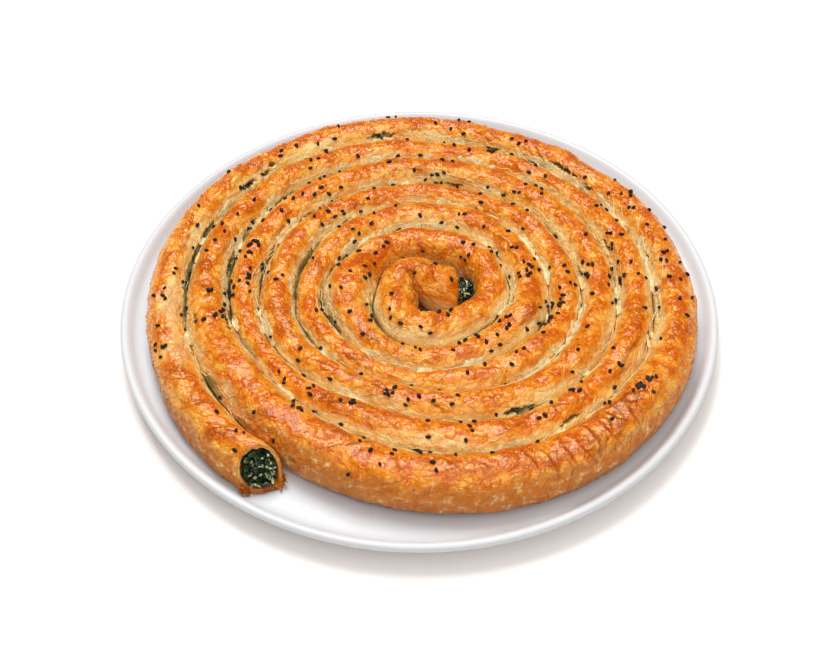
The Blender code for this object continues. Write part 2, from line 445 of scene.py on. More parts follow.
pastry = {
    "stepAlong": 0.9,              # mm between rings
    "pointsOver": 50,              # points of a ring above the sides
    "pointsUnder": 14,             # and below them
    "valley": 0.46,                # how high two turns touch, as a share of the crown
    "crestShare": 0.73,            # part of the half width that the baked crust covers
    "bareBorder": (18.5, 14.5),    # mm from the crown to its border on a bare side, inner and outer
    "blisterSize": (5.6, 4),       # mm along and round the roll
    "blisterHeight": 0.62,
    "scaleTilt": 0.9,
    "knobLength": 9,               # mm over which the inner end closes in
    "knobMouth": 0.5,
    "knobMiddle": 0.42,            # height of the middle it closes in to, as a share of the crown
    "wrinkleHeight": 0.16,
    "foldCount": 170,
    "foldLengths": (14, 48), "crossLengths": (7, 15),
    "seed": 5,
    # where the skin has split over the filling: turn, mm round the roll from its crown (+ outwards),
    # half length and half width in mm
    "splits": [
        (5.372, -6.5, 2.6, 1.5), (5.378, -9.5, 2.8, 1.5), (5.395, -9.5, 8, 1.6), (5.29, -8.5, 10, 1.7),
        (5.447, -12, 8, 1.5), (5.466, -13.5, 6, 1.4), (5.534, -12.3, 9, 1.6), (4.468, 10.5, 9, 1.7),
        (4.405, -12.5, 5, 1.4), (4.426, -12, 7, 1.7), (4.474, -13.5, 9, 1.5), (4.533, 10, 5, 1.4),
        (4.54, -10.5, 10, 1.6), (3.445, -12, 4, 1.2), (5.145, -7.5, 13, 1.4), (5.12, -8.5, 5, 1.3),
        (5.205, -9.5, 6, 1.2), (3.001, 13.2, 9, 1.4), (3.03, -12.2, 6, 1.3), (1.073, 12.8, 4, 1.1),
        (0.975, -10.5, 7, 1.2), (5.037, -10.5, 5, 1.2), (2.822, 12.2, 9, 1.7), (3.955, 13, 5, 1.2),
        (3.85, 10.5, 8, 1.2), (3.345, 12.5, 6, 1.2), (2.425, -11.5, 4, 1.1), (3.6, 13, 5, 1),
        (4.056, -10.5, 7, 1.2), (4.01, -11, 6, 1.2), (4.98, -12, 9, 1.2), (3.23, -11.5, 7, 1.2)],
    # long creases and sheet edges: turn, mm round, length, heading, bend, rise, mm until level again
    "creases": [
        (3.934, 5.5, 30, 0.1, 0.2, 0.8, 1.6), (3.905, 7, 34, 0.16, -0.15, 0.9, 1.4),
        (4.686, 4, 46, -0.62, 0.3, 0.95, 2.6), (3.812, 1, 38, -0.32, 0.2, 0.85, 3),
        (3.676, -1, 32, -0.36, -0.2, 0.95, 3), (2.69, 5, 26, -0.5, -0.2, 0.8, 3),
        (5.574, 2, 36, -0.88, 0.5, 0.95, 3), (5.58, 3, 30, -0.78, 0.3, 0.6, 2),
        (5.604, 1, 28, -1.1, 0.4, 0.95, 3), (5.624, 5, 20, -1.2, -0.3, 0.7, 3),
        (4.76, 2, 22, 0.5, 0.3, 0.6, 3), (5.17, -3, 26, 0.6, 0.3, 0.8, 3),
        (4.17, 2, 40, 0.35, -0.3, 0.85, 2.4), (5.385, 2, 22, 0.9, 0.5, 0.8, 3),
        (-0.665, 0, 17, 0.75, 0.5, 1.1, 2.2), (-0.62, -3, 12, -0.6, 0.5, 0.7, 3),
        # the pleats where the outer turn was folded over
        (4.806, 4, 20, 1.15, 0.4, 0.9, 2.6), (4.817, 8, 22, 1.35, -0.3, 1.1, 2.4),
        (4.828, 5, 24, 1.5, 0.4, 1.2, 2.2), (4.838, 9, 22, 1.3, 0.5, 1.2, 2.4),
        (4.848, 4, 26, 1.62, -0.4, 1.3, 2.2), (4.858, 8, 24, 1.45, 0.4, 1.3, 2.2),
        (4.868, 3, 24, 1.2, 0.6, 1.3, 2.4), (4.877, 9, 20, 1.7, 0.3, 1, 2.2),
        (4.874, -3, 22, 0.35, 0.9, 1.4, 2.6), (4.882, 1, 26, 0.75, 0.9, 1.5, 3),
        (4.893, 2, 22, 0.55, 0.8, 1.3, 2.6), (4.905, 3, 18, 1.1, 0.5, 0.9, 3)],
    # loose folded flaps, as ovals: turn, mm round, half length, half width, rise
    "flaps": [
        (4.893, 2.5, 14, 8.5, 1.25), (4.872, 7, 11, 8, 0.95), (4.852, 2, 10, 7, 0.85),
        (4.835, 9, 8, 6.5, 0.8), (5.59, 3, 9, 6, 0.7), (4.72, 9, 9, 5.5, 0.55),
        (4.93, 4, 10, 6, 0.6), (5.128, 1, 9, 5, 0.5)],
    # skin that stayed pale: turn, mm round, half length, half width, strength
    "pale": [
        (5.34, -8, 24, 6, 0.95), (5.385, -9, 20, 5, 0.8), (5.25, -8.5, 16, 5.5, 0.8),
        (5.145, -8, 22, 4.5, 0.6), (5.455, -7, 18, 5, 0.7), (5.515, -3, 24, 8, 0.6),
        (5.555, -2, 15, 8, 0.45), (4.3, -8.5, 20, 4.5, 0.7), (4.955, -9, 26, 4.5, 0.7),
        (4, 8, 24, 4, 0.5), (3.745, 8, 22, 4, 0.6), (2.69, 9, 20, 4, 0.6),
        (1.7, 8.5, 26, 4.5, 0.7), (0.69, 12, 22, 5, 0.7)],
    # darker baked patches: turn, mm round, half length, half width, strength
    "toasted": [
        (4.752, 0, 26, 5, 0.62), (4.69, -1, 20, 4.5, 0.55), (4.8, -1, 20, 4, 0.6),
        (4.882, 2, 14, 7.5, 0.95), (4.866, 5, 11, 8, 0.85), (4.845, 6, 12, 8, 0.85),
        (4.822, 6, 12, 6, 0.7), (4.8, 5, 14, 4, 0.6), (4.655, 5, 15, 5, 0.6),
        (4.7, 3, 12, 4, 0.6), (4.63, 8, 9, 5, 0.8), (3.655, 1, 18, 4, 0.95),
        (3.7, 3, 12, 4, 0.8), (5.6, 3, 8, 5, 0.8), (5.63, 3, 7, 6, 0.9),
        (5.625, 10, 8, 4, 0.9), (5.57, 4, 10, 4, 0.6), (0.42, -1, 12, 3.5, 0.8),
        (0.62, 2, 13, 4, 0.9), (-0.64, 1, 7, 3, 0.9), (3.96, 2, 14, 3.5, 0.8),
        (3.925, 5, 15, 2.5, 0.7), (4.955, 0, 12, 3, 0.7), (5.29, 2, 12, 3, 0.6),
        (2.56, 1, 16, 3.5, 0.7), (1.64, 3, 14, 3.5, 0.7), (4.44, 1, 14, 3, 0.6),
        (0.2, 3, 12, 3.5, 0.6), (2.69, 2, 12, 3.5, 0.7), (3.56, 0, 14, 3.5, 0.6),
        (5.48, 3, 12, 4, 0.6), (5.35, 5, 12, 3.5, 0.6), (4.27, 3, 13, 3.5, 0.5)],
    # egg wash that ran down the outer side: turn, from and to in mm round, half width
    "drips": [
        (4.868, 12, 25, 1.3), (4.856, 12, 22, 1), (4.826, 13, 26, 1.3), (4.818, 14, 22, 0.9),
        (4.745, 12, 19, 1.1), (4.905, 12, 20, 1), (5.615, 9, 18, 1.2), (5.56, 10, 18, 1)],
}


def grooveRadius(turn):
    angle = 2.0 * np.pi * turn
    radius = coil["grooveStart"] + coil["pitch"] * turn
    for key, wave in (("leanX", np.cos(angle)), ("leanY", np.sin(angle)),
                      ("oval", np.cos(2.0 * angle)), ("ovalSkew", np.sin(2.0 * angle))):
        start, growth = coil[key]
        radius = radius + (start + growth * turn) * wave
    for place, push, reach in coil["handPushes"]:
        radius = radius + push * hump(turn, place, reach)
    return radius


def handWobble(turn):
    # small unevenness of a groove, shared by the two turns that meet there
    return 0.0007 * waveNoise(turn * 17.0, turn * 0.0 + 0.5, 91) + 0.0003 * lineNoise(turn * 43.0, 92)


def grooveOpen(turn):
    # how far a groove lies open: wide and shelved at the sides and back, tight at the front
    front = np.maximum(0.0, -np.sin(2.0 * np.pi * turn))
    return np.clip(0.8 - 0.45 * front + 0.25 * lineNoise(turn * 13.0, 95), 0.0, 1.0)


def coilStations(turn):
    # x, y, outward x, outward y, half width, height, lean, turn
    angle = 2.0 * np.pi * turn
    outX = np.cos(angle)
    outY = np.sin(angle)
    inner = grooveRadius(turn) + handWobble(turn) + coil["turnGap"]
    outer = grooveRadius(turn + 1.0) + handWobble(turn + 1.0) - coil["turnGap"]
    half = (outer - inner) / 2.0
    middle = (outer + inner) / 2.0
    height = coil["crownBase"] + coil["crownPerWidth"] * 2.0 * half
    share = smoothStep(0.0, 1.0, 1.0 - (coil["lastTurn"] - turn) / coil["endBlend"])
    middle = middle + coil["endLeaves"] * share
    x = coil["centre"][0] + outX * middle
    y = coil["centre"][1] + outY * middle
    outX = blend(outX, math.sin(coil["cutHeading"]), share)
    outY = blend(outY, -math.cos(coil["cutHeading"]), share)
    size = np.hypot(outX, outY)
    half = blend(half, coil["endHalfWidth"], share)
    height = blend(height, coil["endHeight"], share)
    return np.stack([x, y, outX / size, outY / size, half, height, coil["cutLean"] * share, turn], -1)


def hookStations(stepsEach=40):
    first = coilStations(np.array([coil["firstTurn"], coil["firstTurn"] + 1.0 / 24.0]))
    knots = [tuple(row) for row in coil["innerHook"]]
    for row in first:
        knots.append((row[0] - coil["centre"][0], row[1] - coil["centre"][1], row[4], row[5]))
    knots = np.array(knots)
    knots = np.vstack([2.0 * knots[0] - knots[1], knots])
    rows = []
    for index in range(1, len(knots) - 2):
        a, b, c, d = knots[index - 1:index + 3]
        for step in range(stepsEach):
            t = step / stepsEach
            bend = 2 * a - 5 * b + 4 * c - d + t * (3 * b - a - 3 * c + d)
            rows.append(b + 0.5 * t * (c - a + t * bend))
    rows.append(knots[-2])
    rows = np.array(rows)
    heading = unit(np.gradient(rows[:, :2], axis=0))
    turn = coil["firstTurn"] - 0.25 * np.linspace(1.0, 0.0, len(rows))
    return np.stack([
        rows[:, 0] + coil["centre"][0], rows[:, 1] + coil["centre"][1], heading[:, 1], -heading[:, 0],
        rows[:, 2], rows[:, 3], rows[:, 0] * 0.0, turn], -1)[:-1]


def evenStations():
    turns = np.linspace(coil["firstTurn"], coil["lastTurn"], coil["stations"])
    fine = np.vstack([hookStations(), coilStations(turns)])
    gap = np.hypot(*np.diff(fine[:, :2], axis=0).T)
    along = np.concatenate([[0.0], np.cumsum(gap)]) / mm
    count = int(along[-1] / pastry["stepAlong"]) + 1
    even = np.linspace(0.0, along[-1], count)
    rows = np.stack([np.interp(even, along, fine[:, k]) for k in range(fine.shape[1])], -1)
    size = np.hypot(rows[:, 2], rows[:, 3])
    rows[:, 2:4] /= size[:, None]
    return rows, even


def ringAngles():
    # from the middle of the base up the outer side, over the crown and down again
    half = pastry["pointsUnder"] // 2
    outer = np.linspace(-0.5 * math.pi, 0.0, half + 1)[:-1]
    over = np.linspace(0.0, math.pi, pastry["pointsOver"])
    inner = np.linspace(math.pi, 1.5 * math.pi, half + 1)[1:-1]
    return np.concatenate([outer, over, inner])


def sweepRoll():
    rows, along = evenStations()
    x, y, outX, outY, half, height, lean, turn = (rows[:, k:k + 1] for k in range(8))
    angle = ringAngles()[None, :]
    side = np.cos(angle)               # +1 at the outer side, -1 at the inner
    rise = np.sin(angle)
    s = along[:, None]

    # sides that no other turn leans on stay round down to the plate
    bareOut = np.maximum(smoothStep(coil["lastTurn"] - 1.0, coil["lastTurn"] - 0.94, turn),
                         1.0 - smoothStep(-0.56, -0.5, turn))
    bareIn = 1.0 - smoothStep(0.45, 0.53, turn)
    bare = np.where(side > 0.0, bareOut, bareIn)

    tall = height * (0.99 + 0.026 * lineNoise(s / 31.0, 3) + 0.02 * lineNoise(s / 12.0, 4))
    openAt = np.where(side > 0.0, grooveOpen(turn + 1.0), grooveOpen(turn)) * (1.0 - bare)
    waist = blend(pastry["valley"] - 0.05 + 0.09 * openAt, 0.44, bare) * tall

    lastBit = smoothStep(coil["lastTurn"] - 0.05, coil["lastTurn"], turn)
    lowSide = blend(0.25, 0.62 + 0.3 * lastBit, bare)
    highSide = blend(0.86, 0.74, openAt)
    across = np.where(rise > 0.0, np.abs(side) ** highSide, np.abs(side) ** lowSide) * np.sign(side)
    overUp = waist + (tall - waist) * np.abs(rise) ** blend(0.88, 1.55, openAt)
    underRise = np.abs(rise) ** blend(0.8, 0.62 + 0.26 * lastBit, bare)
    underUp = waist * (1.0 - np.minimum(1.0, 1.03 * underRise))
    up = np.where(rise > 0.0, overUp, underUp)

    # the crown leans a little from side to side along the roll
    sway = 0.08 * lineNoise(s / 26.0, 6) + 0.05 * lineNoise(s / 9.0, 7)
    across = across + sway * (1.0 - across * across) * smoothStep(0.0, 0.5, rise)

    forward = -lean * (up - height / 2.0)
    points = np.stack([
        x + outX * across * half - outY * forward,
        y + outY * across * half + outX * forward,
        coil["restOn"] + up], -1)
    # the inner end closes in like a knob
    knob = np.sqrt(np.clip(1.0 - (1.0 - np.clip(s / pastry["knobLength"], 0.0, 1.0)) ** 2, 0.0, 1.0))
    knob = blend(pastry["knobMouth"], 1.0, knob)[:, :, None]
    middle = np.stack([x, y, coil["restOn"] + pastry["knobMiddle"] * height], -1)
    points = middle + (points - middle) * knob
    crest = pastry["pointsUnder"] // 2 + pastry["pointsOver"] // 2
    reach = np.linalg.norm(np.diff(points, axis=1), axis=2) / mm
    around = np.concatenate([np.zeros((len(points), 1)), np.cumsum(reach, axis=1)], axis=1)
    around = around[:, crest:crest + 1] - around    # mm from the crown, + towards the outer side
    return {"points": points, "rows": rows, "turn": turn, "bare": bare, "across": np.abs(across),
            "s": np.broadcast_to(s, around.shape).copy(), "v": around,
            "rise": np.broadcast_to(rise, around.shape)}


def gridNormals(points):
    # outward normals of a grid whose second axis closes round
    alongStep = np.gradient(points, axis=0)
    roundStep = np.roll(points, -1, axis=1) - np.roll(points, 1, axis=1)
    return unit(np.cross(alongStep, roundStep))


def addFold(fields, roll, fold):
    # a sheet's edge or a crease: a soft step on one side of a line, and the line itself
    s0, v0, length, turnBy, bend, rise, fall = fold
    first = int(max(0, (s0 - length * 0.6) / pastry["stepAlong"]))
    last = int(min(len(roll["s"]), (s0 + length * 0.6) / pastry["stepAlong"] + 2))
    if last - first < 3:
        return
    s = roll["s"][first:last] - s0
    v = roll["v"][first:last] - v0
    t = math.cos(turnBy) * s + math.sin(turnBy) * v
    d = -math.sin(turnBy) * s + math.cos(turnBy) * v + bend * t * t / length
    d = d + 0.5 * waveNoise(t / 4.0, v * 0.0 + s0, 31)
    window = np.clip(1.0 - (2.0 * t / length) ** 2, 0.0, 1.0) ** 0.7
    width = 0.45 + 0.45 * min(1.0, rise)
    step = smoothStep(-0.35, 0.45, d) * np.exp(-np.maximum(d, 0.0) / fall)
    fields["height"][first:last] += rise * step * window
    line = hump(d, 0.1, width) * window * min(1.0, rise / 0.45)
    raiseTo(fields["fold"], slice(first, last), line)


def ovalAway(s, v, spot):
    return np.sqrt((s / spot[2]) ** 2 + (v / spot[3]) ** 2)


def nearOval(roll, spot, reach=1.6):
    # rows round a spot on the roll, with the distances from it in mm
    turn, v0, halfLength = spot[:3]
    s0 = float(np.interp(turn, roll["turn"][:, 0], roll["s"][:, 0]))
    first, last = np.searchsorted(roll["s"][:, 0], [s0 - reach * halfLength, s0 + reach * halfLength])
    return slice(first, last), roll["s"][first:last] - s0, roll["v"][first:last] - v0


def splitField(roll):
    # how far the skin is torn open, from 0 to 1
    torn = np.zeros(roll["s"].shape)
    for spot in pastry["splits"]:
        rows, s, v = nearOval(roll, spot)
        ragged = 0.9 * lineNoise(s / 2.2 + spot[0] * 90.0, 55)
        ragged = ragged + 0.5 * waveNoise(s / 1.1, v / 1.5, 56)
        size = spot[3] * (1.0 - np.clip(np.abs(s) / spot[2], 0.0, 1.0) ** 2.0)
        raiseTo(torn, rows, smoothStep(-0.3, 0.5, size - np.abs(v + ragged)))
    return torn


def addFlaps(fields, roll):
    for spot in pastry["flaps"]:
        rows, s, v = nearOval(roll, spot)
        warp = 0.18 * waveNoise(s / 5.0, v / 5.0 + spot[0] * 60.0, 57)
        inside = (1.0 - ovalAway(s, v, spot) + warp) * spot[3]
        fade = smoothStep(-1.2, 0.4, v / spot[3] + 0.4 * s / spot[2])
        fields["height"][rows] += spot[4] * smoothStep(-0.3, 0.7, inside) * fade
        raiseTo(fields["fold"], rows, 0.45 * hump(inside, 0.3, 0.7) * fade)


def bakedPatches(roll):
    patches = np.zeros(roll["s"].shape)
    for spot in pastry["toasted"]:
        rows, s, v = nearOval(roll, spot)
        warp = 0.5 * waveNoise(s / 4.5 + spot[0] * 70.0, v / 3.0, 58)
        warp = warp + 0.25 * waveNoise(s / 1.8, v / 1.8, 59)
        away = ovalAway(s, v, spot) + warp
        raiseTo(patches, rows, spot[4] * (1.0 - smoothStep(0.35, 1.0, away)))
    for turn, top, bottom, half in pastry["drips"]:
        rows, s, v = nearOval(roll, (turn, (top + bottom) / 2.0, 4.0 * half))
        along = v / ((bottom - top) / 2.0)
        width = half * (1.0 - 0.75 * smoothStep(-1.0, 1.0, along))
        streak = np.exp(-(((s + 0.25 * v) / width) ** 2)) * smoothStep(1.0, 0.7, np.abs(along))
        raiseTo(patches, rows, 0.75 * streak)
    return patches


def paleAreas(roll):
    # crumpled skin that stayed pale
    pale = np.zeros(roll["s"].shape)
    for spot in pastry["pale"]:
        rows, s, v = nearOval(roll, spot)
        away = ovalAway(s, v, spot) + 0.4 * waveNoise(s / 4.0 + spot[0] * 50.0, v / 2.5, 60)
        raiseTo(pale, rows, spot[4] * (1.0 - smoothStep(0.55, 1.1, away)))
    return pale


def crustFields(roll):
    s, v, rise, bare, across = (roll[key] for key in ("s", "v", "rise", "bare", "across"))
    rng = np.random.RandomState(pastry["seed"])
    fields = {}

    shown = blend(smoothStep(0.02, 0.3, rise), 1.0, bare)
    # where the egg wash and the browning stop, and the pale side begins
    border = pastry["crestShare"] + 0.17 * layeredNoise(s / 17.0, np.sign(v) * 7.0, 21)
    border = border + 0.08 * waveNoise(s / 3.6, v / 6.0, 22)
    crust = 1.0 - smoothStep(-0.16, 0.16, across - border)
    bareBorder = np.where(v < 0.0, *pastry["bareBorder"]) + 3.0 * layeredNoise(s / 14.0, s * 0.0, 24)
    bareBorder = bareBorder + 2.0 * waveNoise(s / 4.0, v / 9.0, 25)
    crust = blend(crust, 1.0 - smoothStep(-3.0, 3.0, np.abs(v) - bareBorder), bare)
    crust = crust * (1.0 - paleAreas(roll))

    warpU = s + 2.4 * waveNoise(s / 7.0, v / 7.0, 41)
    warpV = v + 2.4 * waveNoise(s / 7.0, v / 7.0, 42)
    sizeU, sizeV = pastry["blisterSize"]
    near, second, own, offU, offV = cellNoise(warpU / sizeU, warpV / sizeV, 51)
    edge = second - near
    zone = smoothStep(-0.45, 0.25, layeredNoise(s / 19.0, v / 13.0, 61))
    pillow = np.clip(edge * 1.3, 0.0, 1.0) ** 0.6 * (0.35 + 0.65 * own) * blend(0.4, 1.0, zone)
    tilt = (offU * (own - 0.5) + offV * (((own * 7.3) % 1.0) - 0.5)) * pastry["scaleTilt"]

    # pointed scales down the bare outer flank
    early = smoothStep(coil["lastTurn"] - 1.09, coil["lastTurn"] - 1.0, roll["turn"]) * (v > 0.0)
    flank = np.maximum(bare, early) * smoothStep(9.0, 14.0, v)
    slanted = s + 0.75 * v + 1.6 * waveNoise(s / 9.0, v / 6.0, 72)
    nearF, secondF, ownF, offUF, offVF = cellNoise(slanted / 2.6, (v - 0.3 * s) / 5.0, 71)
    scales = (1.0 - np.exp(-4.0 * (secondF - nearF))) * 0.45 + 0.6 * offUF + 0.4 * offVF

    # small crepe cells on the pale sides
    nearS, secondS = cellNoise(warpU / 3.6, warpV / 1.7, 81)[:2]
    crepe = (1.0 - np.exp(-3.0 * (secondS - nearS))) * 0.5

    wrinkle = waveNoise(s / 2.3 + 1.5 * waveNoise(s / 9.0, v / 6.0, 44), v / 8.0, 43)
    wrinkle = np.clip(1.0 - np.abs(wrinkle) * 2.0, 0.0, 1.0) ** 2
    bulk = 0.6 * layeredNoise(s / 24.0, v / 15.0, 45) + 0.34 * waveNoise(s / 8.5, v / 8.0, 46)

    crownPart = smoothStep(0.0, 0.5, crust)
    torn = splitField(roll)
    height = bulk + pastry["blisterHeight"] * pillow * crownPart + tilt * crownPart
    height = height + pastry["wrinkleHeight"] * wrinkle * crownPart
    height = height + crepe * (1.0 - crownPart) * (1.0 - flank) + 1.15 * scales * flank
    # the baked crust stands a little proud of the pale side
    height = height + 0.28 * smoothStep(0.25, 0.6, crust)
    fields["height"] = height - 2.2 * torn
    fields["fold"] = np.zeros(s.shape)

    longest = s.max()
    for _ in range(pastry["foldCount"]):
        lengthwise = rng.rand() < 0.7
        turnBy = rng.normal(0.0, 0.35) if lengthwise else rng.choice([-1, 1]) * rng.uniform(0.9, 1.5)
        addFold(fields, roll, (
            rng.uniform(10.0, longest - 10.0), rng.uniform(-9.0, 10.0),
            rng.uniform(*pastry["foldLengths"] if lengthwise else pastry["crossLengths"]),
            turnBy, rng.uniform(-0.6, 0.6), rng.uniform(0.25, 0.95), rng.uniform(1.5, 6.0)))
    fields["fold"] *= 0.35         # loose sheet edges brown less than the listed creases
    for turn, *rest in pastry["creases"]:
        addFold(fields, roll, (float(np.interp(turn, roll["turn"][:, 0], s[:, 0])), *rest))
    addFlaps(fields, roll)

    # browning: broad streaks along the crown, single scales, and the listed patches
    toast = smoothStep(0.12, 0.75, layeredNoise(s / 19.0, v / 7.0, 101, 4)) * (0.55 + 0.45 * own)
    toast = toast * (1.0 - smoothStep(0.55, 1.0, np.abs(v) / 11.0)) * (0.6 + 0.5 * pillow)
    toast = np.maximum(toast, bakedPatches(roll) * (0.75 + 0.35 * pillow))
    # painted shade: how far down into the groove between two turns a point lies, kept as valley to
    # darken the pale side there
    depth = smoothStep(0.7, 0.98, across) * (1.0 - bare) * (1.0 - 0.8 * early)
    fields["crust"] = crust
    fields["toast"] = np.clip(toast * np.maximum(crownPart, flank), 0.0, 1.0)
    fields["cellTone"] = np.where(flank > 0.5, ownF, own)
    # painted shade in the dips between blisters on the crust
    fields["blisterCreaseShade"] = np.clip(np.exp(-edge * 9.0) * crownPart * blend(0.4, 1.0, zone), 0.0, 1.0)
    fields["valley"] = depth * (0.62 + 0.38 * waveNoise(s / 13.0, np.sign(v) * 3.0, 26))
    lift = (roll["points"][:, :, 2] - coil["restOn"]) / mm
    fields["base"] = bare * (1.0 - smoothStep(1.5, 6.0 + 2.5 * lineNoise(s / 6.0, 27), lift))
    fields["flank"] = flank
    sideways = across + 0.12 * waveNoise(s / 6.0, v / 5.0, 28)
    sideways = blend(sideways, np.abs(v) / 19.0, bare)
    # the outer turn browned deepest at the front, and its left end and the small hook stayed lighter
    front = hump(roll["turn"], 4.74, 0.1) + 0.6 * hump(roll["turn"], 3.72, 0.1)
    left = hump(roll["turn"], 5.45, 0.09)
    sideways = sideways - 0.32 * front + 0.28 * left + 0.22 * smoothStep(0.0, -0.35, roll["turn"])
    fields["sideways"] = np.clip(sideways, 0.0, 1.2)
    fields["torn"] = torn
    fields["shown"] = shown
    # filling seen through thin skin low in the grooves, most at the left and the back, with painted
    # shade darkening the groove bottoms
    part = roll["turn"] % 1.0
    heavy = 0.34 + 1.15 * hump(part, 0.46, 0.14) + 0.35 * hump(part, 0.06, 0.1)
    leakAndShade = layeredNoise(s / 15.0, np.sign(v) * 5.0, 29) * 0.55 + 0.45
    leakAndShade = leakAndShade + 0.25 * waveNoise(s / 3.0, v / 1.5, 30)
    low = smoothStep(0.69, 0.93, across + 0.05 * waveNoise(s / 2.2, v / 2.0, 32))
    fields["leakAndShade"] = np.clip(leakAndShade * heavy, 0.0, 1.0) * low * (1.0 - bare)
    return fields


roll = sweepRoll()
fields = crustFields(roll)
normals = gridNormals(roll["points"])
endsFade = smoothStep(0.0, 6.0, roll["s"]) * smoothStep(0.0, 5.0, roll["s"].max() - roll["s"])
lift = fields["height"] * fields["shown"] * blend(0.35, 1.0, endsFade)
crustPoints = roll["points"] + normals * (lift * mm)[:, :, None]
highest = cadHigh.z - coil["topRoom"]
room = (highest - crustPoints[:, :, 2]) / coil["topSoftness"]
crustPoints[:, :, 2] = highest - coil["topSoftness"] * np.logaddexp(0.0, room)    # eases under it
crustPoints[:, :, 2] = np.maximum(crustPoints[:, :, 2], coil["restOn"])
crustNormals = gridNormals(crustPoints)
print("roll swept", crustPoints.shape, "top", round(float(crustPoints[:, :, 2].max()), 4))


# the roll's colours and finish

rollKeys = (
    "crust", "toast", "cellTone", "blisterCreaseShade", "valley", "base",
    "fold", "torn", "flank", "sideways", "leakAndShade")

phyllo = {
    "goldPale": (0.94, 0.44, 0.078),
    "gold": (0.83, 0.24, 0.005),
    "goldDeep": (0.64, 0.102, 0.001),
    "toasted": (0.34, 0.05, 0.002),
    "cream": (0.97, 0.77, 0.42),
    "creamShade": (0.93, 0.58, 0.18),
    "flankGold": (0.86, 0.29, 0.028),
    "tan": (0.58, 0.14, 0.006),
    # painted shade: the pale side darkens towards the groove bottoms
    "groove": (0.68, 0.48, 0.17),
    "grooveDeepShade": (0.17, 0.1, 0.024),
    "baseBrown": (0.34, 0.07, 0.006),
    # filling seen through the skin, darkened further as painted shade in the grooves
    "mossyAndShade": (0.16, 0.14, 0.045),
    "greenThrough": (0.045, 0.042, 0.014),
    "hollow": (0.17, 0.09, 0.02),
}


def layColors(tree, color, layers):
    # each layer is how much of it shows, and the name of its tone
    for share, tone in layers:
        color = mixColor(tree, share, color, phyllo[tone])
    return color


